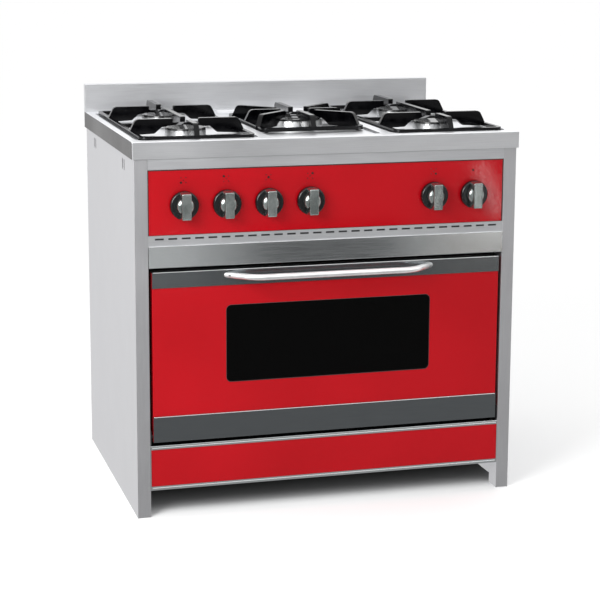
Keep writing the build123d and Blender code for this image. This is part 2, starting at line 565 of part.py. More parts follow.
with BuildPart() as door_bottom_trim:
    block((-DOOR_X, DOOR_X), (FACE - TRIM_PROUD, FACE), (DOOR_BOTTOM, DOOR_BOTTOM + DOOR_LOW_TRIM_H))
    block((-DOOR_X, DOOR_X), (FACE - TRIM_PROUD, FACE + PAN_DEPTH), (DOOR_BOTTOM, DOOR_BOTTOM + TRIM_PROUD))
    fillet(door_bottom_trim.faces().sort_by(Axis.Z)[0].edges().filter_by(Axis.X).sort_by(Axis.Y)[0], 1.6)
save(door_bottom_trim, "door_bottom_trim")

GLASS_XS = (-WINDOW_W / 2 - GLASS_LAP, WINDOW_W / 2 + GLASS_LAP)
GLASS_ZS = (WINDOW_Z - WINDOW_H / 2 - GLASS_LAP, WINDOW_Z + WINDOW_H / 2 + GLASS_LAP)
with BuildPart() as door_window_glass:
    block(GLASS_XS, (FACE + TOP_SHEET, FACE + TOP_SHEET + GLASS_T), GLASS_ZS)
    fillet(door_window_glass.edges().filter_by(Axis.Y), 8.0)
save(door_window_glass, "door_window_glass")

INNER_SKIN_Y = DOOR_BACK - SHEET
with BuildPart() as door_inner_panel:
    inner_x = DOOR_X - SHEET
    inner_zs = (PAN_ZS[0] + SHEET, PAN_ZS[1] - SHEET)
    block((-inner_x, inner_x), (FACE + PAN_DEPTH - 8.0, DOOR_BACK), inner_zs)
    fillet(door_inner_panel.faces().sort_by(Axis.Y)[-1].edges(), 3.0)
    block(
        (-inner_x + SHEET, inner_x - SHEET),
        (FACE + PAN_DEPTH - 8.0, INNER_SKIN_Y),
        (inner_zs[0] + SHEET, inner_zs[1] - SHEET),
        Mode.SUBTRACT,
    )
    with BuildSketch(Plane.XZ.offset(-DOOR_BACK)) as inner_window:
        with Locations((0, WINDOW_Z)):
            RectangleRounded(WINDOW_W, WINDOW_H, WINDOW_R)
    extrude(amount=5.0, both=True, mode=Mode.SUBTRACT)
save(door_inner_panel, "door_inner_panel")

with BuildPart() as door_inner_glass:
    block(GLASS_XS, (INNER_SKIN_Y - GLASS_T, INNER_SKIN_Y), GLASS_ZS)
    fillet(door_inner_glass.edges().filter_by(Axis.Y), 8.0)
save(door_inner_glass, "door_inner_glass")

# ---- Hinges: a bored block in each lower corner of the door, a pin on each column -----------
BLOCK_XS = (DOOR_X - SHEET - HINGE_BLOCK_W, DOOR_X - SHEET)
BLOCK_YS = (FACE + TOP_SHEET, FACE + PAN_DEPTH - 8.0)
BLOCK_ZS = (PAN_ZS[0] + SHEET, PAN_ZS[0] + SHEET + HINGE_BLOCK_H)
with BuildPart() as door_hinge_blocks:
    for side in (-1, 1):
        block_xs = tuple(sorted(side * x for x in BLOCK_XS))
        block(block_xs, BLOCK_YS, BLOCK_ZS)
        rod_x(HINGE_Y, HINGE_Z, block_xs, HINGE_R + FIT, Mode.SUBTRACT)
save(door_hinge_blocks, "door_hinge_blocks")

with BuildPart() as hinge_brackets:
    for side in (-1, 1):
        pad_xs = sorted((side * (INNER_X - HINGE_PAD_T), side * INNER_X))
        pin_xs = sorted((side * (BLOCK_XS[0] + 2.0), side * (INNER_X - HINGE_PAD_T)))
        block(pad_xs, (FACE + 2.0, HINGE_Y + 14.0), (LOWER_TOP, HINGE_Z + 14.0))
        rod_x(HINGE_Y, HINGE_Z, pin_xs, HINGE_R)
save(hinge_brackets, "hinge_brackets")

# ---- Handle: one bent bar, its legs slanting back to the door's top trim --------------------
TRIM_FACE = FACE - TRIM_PROUD
with BuildPart() as door_handle:
    with BuildLine() as handle_path:
        end_x = HANDLE_SPAN / 2
        slope = HANDLE_LEG / (TRIM_FACE - HANDLE_Y)
        tail = 12.0
        FilletPolyline(
            (-end_x - tail * slope, TRIM_FACE + tail, HANDLE_Z),
            (-end_x + HANDLE_LEG, HANDLE_Y, HANDLE_Z),
            (end_x - HANDLE_LEG, HANDLE_Y, HANDLE_Z),
            (end_x + tail * slope, TRIM_FACE + tail, HANDLE_Z),
            radius=HANDLE_BEND_R,
        )
    with BuildSketch(Plane(handle_path.line @ 0, z_dir=handle_path.line % 0)) as handle_section:
        Circle(HANDLE_R)
    sweep()
    split(bisect_by=Plane.XZ.offset(-TRIM_FACE), keep=Keep.TOP)
    for side in (-1, 1):
        rod_y(side * end_x, HANDLE_Z, (TRIM_FACE - SCREW_BITE - 1, TRIM_FACE),
              SCREW_R + 2 * FIT, Mode.SUBTRACT)
save(door_handle, "door_handle")

with BuildPart() as handle_screws:
    for side in (-1, 1):
        screw_x = side * HANDLE_SPAN / 2
        rod_y(screw_x, HANDLE_Z, (TRIM_FACE - SCREW_BITE, FACE + TOP_SHEET), SCREW_R)
        rod_y(screw_x, HANDLE_Z, (FACE + TOP_SHEET, FACE + TOP_SHEET + SCREW_HEAD_H), SCREW_HEAD_R)
save(handle_screws, "handle_screws")

# ---- Gas: manifold, valves, feed pipes and the inlet at the back ----------------------------
with BuildPart() as gas_valves:
    for knob_x in KNOB_XS:
        block((knob_x - VALVE_W / 2, knob_x + VALVE_W / 2), (VALVE_Y, VALVE_Y + VALVE_D),
              (MANIFOLD_Z, KNOB_Z + VALVE_H / 2))
        rod_y(knob_x, KNOB_Z, (VALVE_Y, VALVE_Y + STEM_IN_VALVE + PUSH_TRAVEL + 2),
              STEM_R + FIT, Mode.SUBTRACT)
    rod_x(MANIFOLD_Y, MANIFOLD_Z, (-SKIN_X, SKIN_X), MANIFOLD_R, Mode.SUBTRACT)
save(gas_valves, "gas_valves")

ELBOW = INLET_NIPPLE_R + 2.0  # half the width of the elbow block
MANIFOLD_XS = (KNOB_XS[0] - 40.0, INLET_X - ELBOW)
with BuildPart() as gas_manifold:
    rod_x(MANIFOLD_Y, MANIFOLD_Z, MANIFOLD_XS, MANIFOLD_R)
    rod_x(MANIFOLD_Y, MANIFOLD_Z, (MANIFOLD_XS[0] + 3, MANIFOLD_XS[1]), MANIFOLD_R - 2, Mode.SUBTRACT)
save(gas_manifold, "gas_manifold")

with BuildPart() as gas_inlet:
    block((INLET_X - ELBOW, INLET_X + ELBOW), (MANIFOLD_Y - ELBOW, MANIFOLD_Y + ELBOW),
          (MANIFOLD_Z - ELBOW, MANIFOLD_Z + ELBOW))
    rod_y(INLET_X, MANIFOLD_Z, (MANIFOLD_Y, BACK - INLET_NIPPLE_L), INLET_R)
    rod_y(INLET_X, MANIFOLD_Z, (BACK - INLET_NIPPLE_L, BACK), INLET_NIPPLE_R)
    rod_y(INLET_X, MANIFOLD_Z, (MANIFOLD_Y, BACK), INLET_R - 1.5, Mode.SUBTRACT)
save(gas_inlet, "gas_inlet")

# ---- Valve stems and knobs: a stem pushes in, and its knob turns ----------------------------
STEM_TIP = SKIRT_BACK - STEM_IN_KNOB
for number, knob_x in enumerate(KNOB_XS, start=1):
    with BuildPart() as valve_stem:
        rod_y(knob_x, KNOB_Z, (STEM_TIP, VALVE_Y + STEM_IN_VALVE), STEM_R)
    save(valve_stem, f"valve_stem_{number}")

    with BuildPart() as knob_skirt:
        rod_y(knob_x, KNOB_Z, (SKIRT_FRONT, SKIRT_BACK), SKIRT_R)
        fillet(knob_skirt.faces().sort_by(Axis.Y)[0].edges(), 4.0)
        rod_y(knob_x, KNOB_Z, (SKIRT_FRONT, SKIRT_BACK), STEM_R + FIT, Mode.SUBTRACT)
    save(knob_skirt, f"knob_skirt_{number}")

    with BuildPart() as knob_grip:
        rod_y(knob_x, KNOB_Z, (SKIRT_FRONT - HUB_T, SKIRT_FRONT), HUB_R)
        fillet(knob_grip.faces().sort_by(Axis.Y)[0].edges(), HUB_T * 0.7)
        with BuildSketch(Plane.XZ.offset(-SKIRT_FRONT)) as grip_outline:
            with Locations((knob_x, KNOB_Z)):
                RectangleRounded(GRIP_W, GRIP_H, 2.5)
        extrude(amount=GRIP_T)
        fillet(knob_grip.faces().sort_by(Axis.Y)[0].edges(), 2.0)
        rod_y(knob_x, KNOB_Z, (STEM_TIP - GAP, SKIRT_FRONT), STEM_R + FIT, Mode.SUBTRACT)
    save(knob_grip, f"knob_grip_{number}")

# ---- Burners --------------------------------------------------------------------------------
CAP_SEAT = WELL_FLOOR + RING_H
with BuildPart() as burner_cups:
    for burner_x, burner_y in BURNERS:
        rod_z(burner_x, burner_y, (WELL_FLOOR - THROAT_L, WELL_FLOOR), THROAT_R)
        with BuildSketch(Plane.XY.offset(WELL_FLOOR)) as ring:
            with Locations((burner_x, burner_y)):
                Circle(RING_R)
        extrude(amount=RING_H, taper=4)
        rod_z(burner_x, burner_y, (WELL_FLOOR - THROAT_L, CAP_SEAT), THROAT_R - 10.0, Mode.SUBTRACT)
        with BuildSketch(Plane.XY.offset(CAP_SEAT)) as flutes:
            with Locations((burner_x, burner_y)):
                with PolarLocations(RING_R - 4.0, 24):
                    Rectangle(14.0, 2.0)
        extrude(amount=-3.0, mode=Mode.SUBTRACT)
save(burner_cups, "burner_cups")

TRIPLE_SEAT = WELL_FLOOR + TRIPLE_H
with BuildPart() as triple_burner:
    rod_z(*TRIPLE, (WELL_FLOOR - THROAT_L, WELL_FLOOR), THROAT_R)
    with BuildSketch(Plane.XY.offset(WELL_FLOOR)) as crown:
        with Locations(TRIPLE):
            Circle(TRIPLE_R)
    extrude(amount=TRIPLE_H, taper=10)
    rod_z(*TRIPLE, (TRIPLE_SEAT - 8.0, TRIPLE_SEAT), TRIPLE_CAP_IN - 4.0, Mode.SUBTRACT)
    rod_z(*TRIPLE, (TRIPLE_SEAT - 10.0, TRIPLE_SEAT), TRIPLE_CAP_MID - 4.0)
    with BuildSketch(Plane.XY.offset(TRIPLE_SEAT)) as crown_flutes:
        with Locations(TRIPLE):
            with PolarLocations(TRIPLE_CAP_OUT, 36):
                Rectangle(14.0, 2.2)
    extrude(amount=-3.0, mode=Mode.SUBTRACT)
save(triple_burner, "triple_burner")

# All the loose caps: one on each side burner, a ring and a middle cap on the triple crown.
with BuildPart() as burner_caps:
    for burner_x, burner_y in BURNERS:
        with BuildSketch(Plane.XY.offset(CAP_SEAT)) as cap:
            with Locations((burner_x, burner_y)):
                Circle(CAP_R)
        extrude(amount=CAP_H, taper=10)
    fillet(burner_caps.faces().filter_by(Axis.Z).group_by(Axis.Z)[-1].edges(), 2.0)
    with BuildSketch(Plane.XY.offset(TRIPLE_SEAT)) as ring_cap:
        with Locations(TRIPLE):
            Circle(TRIPLE_CAP_OUT)
            Circle(TRIPLE_CAP_IN, mode=Mode.SUBTRACT)
    extrude(amount=TRIPLE_CAP_H)
    with BuildSketch(Plane.XY.offset(TRIPLE_SEAT)) as mid_cap:
        with Locations(TRIPLE):
            Circle(TRIPLE_CAP_MID)
    extrude(amount=TRIPLE_CAP_H, taper=25)
    triple_top = TRIPLE_SEAT + TRIPLE_CAP_H
    fillet(burner_caps.faces().filter_by(lambda face: abs(face.center().Z - triple_top) < 0.01).edges(), 1.5)
save(burner_caps, "burner_caps")

# Feed pipes: each rises from its valve and runs under the worktop to its burner.
FEED_ENDS = [BURNERS[0], BURNERS[1], TRIPLE, BURNERS[2], BURNERS[3]]
FEED_Y = VALVE_Y + 12.0
FEED_LOW = WELL_FLOOR - THROAT_L - 16.0
FEED_STEP = 2 * PIPE_R + 2.0
with BuildPart() as burner_pipes:
    for i, (feed_x, feed_y) in enumerate(FEED_ENDS):
        run_z = FEED_LOW - i * FEED_STEP
        with BuildLine() as feed_line:
            FilletPolyline(
                (KNOB_XS[i], FEED_Y, KNOB_Z + VALVE_H / 2),
                (KNOB_XS[i], FEED_Y, run_z),
                (feed_x, feed_y, run_z),
                (feed_x, feed_y, WELL_FLOOR - THROAT_L),
                radius=9.0,
            )
        with BuildSketch(Plane(feed_line.line @ 0, z_dir=feed_line.line % 0)) as feed_section:
            Circle(PIPE_R)
        sweep(feed_section.sketch, path=feed_line.line)
save(burner_pipes, "burner_pipes")


# ---- Grates ---------------------------------------------------------------------------------
def finger(start, heading, length):
    """An upright plate from the grate's frame to near a burner's axis; heading is in degrees."""
    along = Vector(cos(radians(heading)), sin(radians(heading)), 0)
    upright = Plane(origin=(start[0], start[1], 0), x_dir=along, z_dir=along.cross(Vector(0, 0, 1)))
    with BuildSketch(upright) as outline:
        with BuildLine():
            FilletPolyline(
                (0, GRATE_Z),
                (0, GRATE_Z + GRATE_BAR_H),
                (FINGER_RISE, GRATE_TOP),
                (length, GRATE_TOP),
                (length, GRATE_TOP - FINGER_TIP),
                (length - FINGER_NECK, GRATE_TOP - FINGER_DEEP),
                (length - FINGER_NECK - FINGER_BELLY, GRATE_Z + 2.0),
                (GRATE_BAR + 4.0, GRATE_Z),
                radius=[0.5, 3.0, 12.0, 2.5, 3.0, 8.0, 8.0, 0.5],
                close=True,
            )
        make_face()
    extrude(outline.sketch, amount=FINGER_T / 2, both=True)


def grate_frame(x_span, y_span, corner):
    """The rounded ring that lies in a well, on four rubber-soled feet."""
    centre = ((x_span[0] + x_span[1]) / 2, (y_span[0] + y_span[1]) / 2)
    width, depth = x_span[1] - x_span[0], y_span[1] - y_span[0]
    with BuildSketch(Plane.XY.offset(GRATE_Z)) as ring:
        with Locations(centre):
            RectangleRounded(width, depth, corner)
            RectangleRounded(
                width - 2 * GRATE_BAR, depth - 2 * GRATE_BAR, corner - GRATE_BAR / 2, mode=Mode.SUBTRACT)
    extrude(ring.sketch, amount=GRATE_BAR_H)
    inset = corner * 0.5 + FOOT_R
    for foot_x in (x_span[0] + inset, x_span[1] - inset):
        for foot_y in (y_span[0] + inset, y_span[1] - inset):
            rod_z(foot_x, foot_y, (WELL_FLOOR + GAP, GRATE_Z + 1.0), FOOT_R * 0.8)


SIDE_GRATE_XS = (SIDE_WELL_XS[0] + GRATE_MARGIN, SIDE_WELL_XS[1] - GRATE_MARGIN)
GRATE_YS = (WELL_YS[0] + GRATE_MARGIN, WELL_YS[1] - GRATE_MARGIN)


def side_grate(side):
    """Grate over two burners: frame with a cross bar, fingers, and the bar between the burners."""
    xs = tuple(sorted(side * x for x in SIDE_GRATE_XS))
    with BuildPart() as grate:
        grate_frame(xs, GRATE_YS, GRATE_CORNER_R)
        centre_x = side * BURNER_X
        front_y, rear_y = FRONT + BURNER_FRONT, FRONT + BURNER_REAR
        mid_y = (front_y + rear_y) / 2
        for burner_y in (front_y, rear_y):
            finger((xs[0], burner_y), 0, centre_x - TIP_GAP - xs[0])
            finger((xs[1], burner_y), 180, xs[1] - centre_x - TIP_GAP)
        finger((centre_x, GRATE_YS[0]), 90, front_y - TIP_GAP - GRATE_YS[0])
        finger((centre_x, GRATE_YS[1]), 270, GRATE_YS[1] - rear_y - TIP_GAP)
        with BuildSketch(Plane.YZ.offset(centre_x)) as spine:
            with BuildLine():
                near, far = front_y + TIP_GAP, rear_y - TIP_GAP
                FilletPolyline(
                    (near, GRATE_TOP),
                    (far, GRATE_TOP),
                    (far, GRATE_TOP - FINGER_TIP),
                    (far - FINGER_NECK, GRATE_TOP - FINGER_DEEP),
                    (mid_y + SPINE_FOOT / 2, GRATE_Z),
                    (mid_y - SPINE_FOOT / 2, GRATE_Z),
                    (near + FINGER_NECK, GRATE_TOP - FINGER_DEEP),
                    (near, GRATE_TOP - FINGER_TIP),
                    radius=2.5,
                    close=True,
                )
            make_face()
        extrude(spine.sketch, amount=FINGER_T / 2, both=True)
        block((xs[0] + 1.0, xs[1] - 1.0), (mid_y - GRATE_BAR / 2, mid_y + GRATE_BAR / 2),
              (GRATE_Z, GRATE_Z + GRATE_BAR_H))
    return grate


grate_left = side_grate(-1)
save(grate_left, "grate_left")
grate_right = side_grate(1)
save(grate_right, "grate_right")

CENTRE_GRATE_X = CENTRE_WELL_X - GRATE_MARGIN
CENTRE_GRATE_YS = (FRONT + CENTRE_GRATE_FRONT, FRONT + CENTRE_GRATE_BACK)
with BuildPart() as grate_centre:
    grate_frame((-CENTRE_GRATE_X, CENTRE_GRATE_X), CENTRE_GRATE_YS, GRATE_CORNER_R)
    reach_x = CENTRE_GRATE_X - TRIPLE_TIP_GAP
    finger((-CENTRE_GRATE_X, TRIPLE[1]), 0, reach_x)
    finger((CENTRE_GRATE_X, TRIPLE[1]), 180, reach_x)
    finger((0, CENTRE_GRATE_YS[0]), 90, TRIPLE[1] - TRIPLE_TIP_GAP - CENTRE_GRATE_YS[0])
    finger((0, CENTRE_GRATE_YS[1]), 270, CENTRE_GRATE_YS[1] - TRIPLE[1] - TRIPLE_TIP_GAP)
    diagonal_root = CENTRE_GRATE_X - 2.0
    for quarter in range(4):
        heading = 45 + 90 * quarter
        root_x = TRIPLE[0] - diagonal_root * cos(radians(heading)) * sqrt(2)
        root_y = TRIPLE[1] - diagonal_root * sin(radians(heading)) * sqrt(2)
        finger((root_x, root_y), heading, diagonal_root * sqrt(2) - TRIPLE_TIP_GAP - DIAGONAL_SHORT)
save(grate_centre, "grate_centre")
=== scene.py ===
import math

import bpy
from mathutils import Matrix, Vector


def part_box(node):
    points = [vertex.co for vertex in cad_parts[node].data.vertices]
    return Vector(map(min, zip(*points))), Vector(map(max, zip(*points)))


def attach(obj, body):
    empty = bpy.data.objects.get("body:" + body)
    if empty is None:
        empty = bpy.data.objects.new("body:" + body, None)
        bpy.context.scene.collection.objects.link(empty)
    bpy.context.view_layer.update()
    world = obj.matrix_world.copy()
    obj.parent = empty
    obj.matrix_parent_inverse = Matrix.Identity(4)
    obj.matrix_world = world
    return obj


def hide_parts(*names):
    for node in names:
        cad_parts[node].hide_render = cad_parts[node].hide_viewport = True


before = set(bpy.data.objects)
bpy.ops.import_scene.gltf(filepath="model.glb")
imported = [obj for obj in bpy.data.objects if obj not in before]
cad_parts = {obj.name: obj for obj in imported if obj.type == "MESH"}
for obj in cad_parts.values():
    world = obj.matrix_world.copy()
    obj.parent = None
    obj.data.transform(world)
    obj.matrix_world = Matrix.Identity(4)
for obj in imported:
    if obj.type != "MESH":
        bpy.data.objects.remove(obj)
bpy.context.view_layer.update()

bl_info = {
    "name": "Freestanding gas range",
    "version": (1, 0, 0),
    "blender": (4, 5, 0),
    "location": "View3D > Sidebar > Gas Range",
    "description": "Finishes and detailed pieces of a freestanding gas range around its frame",
    "category": "Object",
}

MM = 0.001
UPRIGHT = (math.pi / 2, 0, 0)  # turns a flat primitive to face the front
SMOOTH_BELOW, SHARP_ABOVE = math.radians(35), math.radians(30)  # angles between faces
MERGE = 0.00002  # points nearer than this are one
BODY = "range_body"
KNOB_COUNT = 6
GRATES = ("left", "centre", "right")
BAR_WIDTH = 0.023  # knob bar
MARK_UP = 0.055  # printed marks above a knob's axis
LOUVRES_Y, LOUVRES_Z = {"front": -0.167, "rear": 0.22}, 0.786  # centres of the side louvre pairs
SHADE_SHEET_SET = 0.0018  # dark sheet behind the outer face of the sheet whose openings it fills with painted shade
SHADE_SHEET_THICK = 0.0006
EDGE_ROLL = 0.0009  # radius of the rolled edge on a strip
PAINTED_GAP, PAINTED_GAP_THICK, PAINTED_GAP_ROUND = 0.0022, 0.0009, 0.0002  # width, thickness and rounding of the dark strips round the control panel, painted shadow in its gaps
PAINTED_GAP_CLEAR = 0.001  # taken off the strips' length
WORKTOP_FOLD = 0.4492  # beyond this from the middle, the worktop's surface is its folded side, painted with a dark reflection
BAR_TAPER = (0.9, 1, 0.94)  # the bar's front against its back
BAR_CORNER, BAR_RIM, BAR_RECESS = 0.0028, 0.0016, (0.0009, 0.0004)  # rounding; inset and depth
NOTCH_RADIUS, NOTCH_DEPTH, NOTCH_UP = 0.0012, 0.0012, 0.33  # the last is a share of the bar's height
HUB_DEPTH, HUB_DOME, HUB_NECK = 0.009, 0.005, 0.62  # the last is the dome's front against its back
HUB_ROUND, HUB_RIM = 0.004, 0.0025
DOT_BIG, DOT_SMALL, DOT_PROUD = 0.24, 0.12, 0.0001  # shares of the mark's width; height over the enamel
BEAD_LAP, BEAD_CORNER, BEAD_WIDTH, BEAD_PROUD = 0.020, 0.012, 0.0014, 0.0009
FRONT_GLOW, BACK_GLOW = 0.3, 0.75  # low surround before and behind the range, beside that overhead
LOW_GLOW = 0.03  # the same for light that spreads, all round


# ---- Reading the frame ---------------------------------------------------------------------
def low(node):
    """Lowest corner of a node at rest."""
    return Vector(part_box(node)[0])


def high(node):
    """Highest corner of a node at rest."""
    return Vector(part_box(node)[1])


def middle(node):
    """Centre of a node's box at rest."""
    return (low(node) + high(node)) / 2


# ---- Materials -----------------------------------------------------------------------------
def linear(hex_colour):
    """An sRGB hex colour as the linear RGBA that shaders take."""
    channels = [int(hex_colour[i:i + 2], 16) / 255 for i in (1, 3, 5)]
    curved = [c / 12.92 if c <= 0.04045 else ((c + 0.055) / 1.055) ** 2.4 for c in channels]
    return (*curved, 1.0)


def add_node(tree, kind, settings=None, **sockets):
    """Adds a shader node, sets its properties, and fills or links its named inputs."""
    node = tree.nodes.new(kind)
    for name, value in (settings or {}).items():
        setattr(node, name, value)
    for name, value in sockets.items():
        key = int(name[1:]) if name[0] == "_" and name[1:].isdigit() else name.replace("_", " ")
        if isinstance(value, bpy.types.NodeSocket):
            tree.links.new(value, node.inputs[key])
        else:
            node.inputs[key].default_value = value
    return node


def new_material(name):
    """An empty node material with its Principled shader and Object coordinates."""
    material = bpy.data.materials.new(name)
    material.use_nodes = True
    tree = material.node_tree
    shader = tree.nodes["Principled BSDF"]
    place = tree.nodes.new("ShaderNodeTexCoord").outputs["Object"]
    return material, tree, shader, place


def set_shader(shader, **values):
    """Constant values set straight on the shader's sockets."""
    for name, value in values.items():
        shader.inputs[name.replace("_", " ")].default_value = value


def ramp(tree, factor, low_value, high_value, start=0.35, end=0.65):
    """A Map Range from a pattern's middle span to the values wanted."""
    spread = add_node(tree, "ShaderNodeMapRange", Value=factor)
    limits = {"From Min": start, "From Max": end, "To Min": low_value, "To Max": high_value}
    for name, value in limits.items():
        spread.inputs[name].default_value = value
    return spread.outputs["Result"]


def tint(tree, factor, dark, light):
    """Mixes two hex colours by a pattern."""
    mix = add_node(tree, "ShaderNodeMix", {"data_type": "RGBA"}, _0=factor)
    mix.inputs[6].default_value = linear(dark)
    mix.inputs[7].default_value = linear(light)
    return mix.outputs[2]


def bump(tree, shader, height, strength, distance_mm):
    """A bump of the given real depth on the shader's normal."""
    relief = add_node(tree, "ShaderNodeBump", Height=height)
    relief.inputs["Strength"].default_value = strength
    relief.inputs["Distance"].default_value = distance_mm * MM
    tree.links.new(relief.outputs["Normal"], shader.inputs["Normal"])


def noise(tree, place, scale, detail=2.0, roughness=0.5, stretch=None):
    """Noise with features 1/scale metres across, drawn out along an axis by a Mapping node."""
    if stretch:
        place = add_node(tree, "ShaderNodeMapping", Vector=place, Scale=stretch).outputs["Vector"]
    return add_node(
        tree, "ShaderNodeTexNoise", Vector=place, Scale=scale, Detail=detail, Roughness=roughness
    ).outputs["Fac"]


GRAIN = {"X": (0.02, 1.0, 1.0), "Z": (1.0, 1.0, 0.02)}  # a grinding line is about 50 widths long


def brushed_stainless(name, dark, light, roughness, grain="X", relief=0.03, edge=None):
    """AISI 304 sheet, belt ground: long fine lines that spread a highlight across the grain."""
    material, tree, shader, place = new_material(name)
    # 150 grit leaves lines about 0.15 mm apart; drawn 1 mm apart so that they show.
    lines = noise(tree, place, 1000, 2.0, 0.5, GRAIN[grain])
    handling = noise(tree, place, 4.5, 3.0, 0.55)  # 200 mm clouds from wiping and rolling
    colour = tint(tree, ramp(tree, lines, 0.0, 1.0, 0.2, 0.8), dark, light)
    if edge:  # beyond a distance from the middle, the folded side of the sheet gets a painted dark reflection, near black and not metal
        reach, skin = edge
        across = add_node(tree, "ShaderNodeSeparateXYZ", Vector=place).outputs["X"]
        side = add_node(tree, "ShaderNodeMath", {"operation": "ABSOLUTE"}, _0=across).outputs[0]
        folded = add_node(
            tree, "ShaderNodeMath", {"operation": "GREATER_THAN"}, _0=side, _1=reach).outputs[0]
        mix = add_node(tree, "ShaderNodeMix", {"data_type": "RGBA"}, _0=folded, _6=colour)
        mix.inputs[7].default_value = linear(skin)
        colour = mix.outputs[2]
        metal_share = add_node(tree, "ShaderNodeMath", {"operation": "SUBTRACT"}, _0=1.0, _1=folded)
        tree.links.new(metal_share.outputs[0], shader.inputs["Metallic"])
    tree.links.new(colour, shader.inputs["Base Color"])
    worn = add_node(tree, "ShaderNodeMath", {"operation": "ADD"}, _0=ramp(tree, lines, -0.03, 0.03),
                    _1=ramp(tree, handling, roughness - 0.03, roughness + 0.04))
    tree.links.new(worn.outputs[0], shader.inputs["Roughness"])
    set_shader(shader, Metallic=1.0, Anisotropic=0.35)
    bump(tree, shader, lines, relief, 0.03)
    return material


def polished_stainless(name, dark, light, roughness):
    """AISI 304 strip, buffed: clear long reflections with a faint wave from rolling."""
    material, tree, shader, place = new_material(name)
    lines = noise(tree, place, 900, 2.0, 0.5, GRAIN["X"])
    wave = noise(tree, place, 9.0, 1.0, 0.4)  # sheet waves about 110 mm long
    colour = tint(tree, ramp(tree, lines, 0.0, 1.0, 0.2, 0.8), dark, light)
    tree.links.new(colour, shader.inputs["Base Color"])
    tree.links.new(ramp(tree, lines, roughness - 0.01, roughness + 0.02), shader.inputs["Roughness"])
    set_shader(shader, Metallic=1.0)
    bump(tree, shader, wave, 0.08, 1.0)
    return material


def vitreous_enamel(name, dark, light, roughness, gloss=0.5):
    """Vitreous enamel fired on steel: deep colour under a glassy skin with slight orange peel."""
    material, tree, shader, place = new_material(name)
    cloud = noise(tree, place, 3.0, 2.0, 0.5)  # 300 mm firing clouds
    skin = noise(tree, place, 160, 2.0, 0.5)  # 6 mm orange peel
    tree.links.new(tint(tree, ramp(tree, cloud, 0.0, 1.0), dark, light), shader.inputs["Base Color"])
    tree.links.new(ramp(tree, skin, roughness - 0.03, roughness + 0.04), shader.inputs["Roughness"])
    set_shader(shader, IOR=1.5, Specular_IOR_Level=gloss)
    bump(tree, shader, skin, 0.05, 0.15)
    return material


def enamelled_iron(name):
    """Grey iron casting with black enamel: sand texture under a glossy, slightly uneven glaze."""
    material, tree, shader, place = new_material(name)
    sand = noise(tree, place, 900, 3.0, 0.6)  # 1.1 mm sand grain
    flow = noise(tree, place, 60, 2.0, 0.5)  # 17 mm pools in the glaze
    tree.links.new(tint(tree, ramp(tree, flow, 0.0, 1.0), "#010102", "#060608"), shader.inputs["Base Color"])
    tree.links.new(ramp(tree, flow, 0.1, 0.18), shader.inputs["Roughness"])
    set_shader(shader, IOR=1.5, Specular_IOR_Level=0.22)
    bump(tree, shader, sand, 0.08, 0.05)
    return material


def chromed(name, dark, light, roughness, metal=1.0):
    """Chromium over satin steel or plastic: bright, with a fine satin grain and soft hand marks."""
    material, tree, shader, place = new_material(name)
    smear = noise(tree, place, 35, 3.0, 0.6)  # 30 mm finger smears
    fine = noise(tree, place, 1400, 2.0, 0.5)  # 0.7 mm satin grain
    tree.links.new(tint(tree, ramp(tree, smear, 0.0, 1.0), dark, light), shader.inputs["Base Color"])
    tree.links.new(ramp(tree, smear, roughness - 0.03, roughness + 0.05), shader.inputs["Roughness"])
    set_shader(shader, Metallic=metal)
    bump(tree, shader, fine, 0.06, 0.02)
    return material


def cast_aluminium(name, dark, light, roughness):
    """Die-cast aluminium, bead blasted: pale, soft and finely grained."""
    material, tree, shader, place = new_material(name)
    beads = noise(tree, place, 1100, 2.0, 0.6)  # 0.9 mm blasting grain
    soot = noise(tree, place, 40, 3.0, 0.6)  # 25 mm heat bloom
    tree.links.new(tint(tree, ramp(tree, soot, 0.0, 1.0), dark, light), shader.inputs["Base Color"])
    tree.links.new(ramp(tree, beads, roughness - 0.05, roughness + 0.07), shader.inputs["Roughness"])
    set_shader(shader, Metallic=1.0)
    bump(tree, shader, beads, 0.15, 0.05)
    return material


def galvanised(name):
    """Hot-dip galvanised sheet: grey zinc crystals, each with its own shade."""
    material, tree, shader, place = new_material(name)
    spangle = add_node(tree, "ShaderNodeTexVoronoi", Vector=place, Scale=70.0)  # 14 mm spangles
    shade = add_node(tree, "ShaderNodeSeparateColor", Color=spangle.outputs["Color"]).outputs["Red"]
    tree.links.new(tint(tree, shade, "#8B8E91", "#B4B7B9"), shader.inputs["Base Color"])
    tree.links.new(ramp(tree, shade, 0.3, 0.5, 0.0, 1.0), shader.inputs["Roughness"])
    set_shader(shader, Metallic=0.9)
    return material


def moulded(name, dark, light, roughness, grain_mm):
    """Moulded plastic, rubber or silicone: a fine even texture from the tool."""
    material, tree, shader, place = new_material(name)
    texture = noise(tree, place, 1000 / grain_mm, 2.0, 0.5)
    tree.links.new(tint(tree, ramp(tree, texture, 0.0, 1.0), dark, light), shader.inputs["Base Color"])
    tree.links.new(ramp(tree, texture, roughness - 0.04, roughness + 0.06), shader.inputs["Roughness"])
    set_shader(shader, IOR=1.5)
    bump(tree, shader, texture, 0.12, 0.05)
    return material


def tempered_glass(name, colour, transmission, gloss, reflection):
    """Soda-lime float glass, tempered: flat and clear, with a trace of wiping film in the gloss."""
    material, tree, shader, place = new_material(name)
    wiped = noise(tree, place, 12, 3.0, 0.6)  # 80 mm cloth marks
    tree.links.new(ramp(tree, wiped, 0.01, 0.04), shader.inputs["Roughness"])
    set_shader(shader, Base_Color=linear(colour), IOR=1.52, Transmission_Weight=transmission,
               Specular_IOR_Level=gloss, Specular_Tint=linear(reflection))
    return material


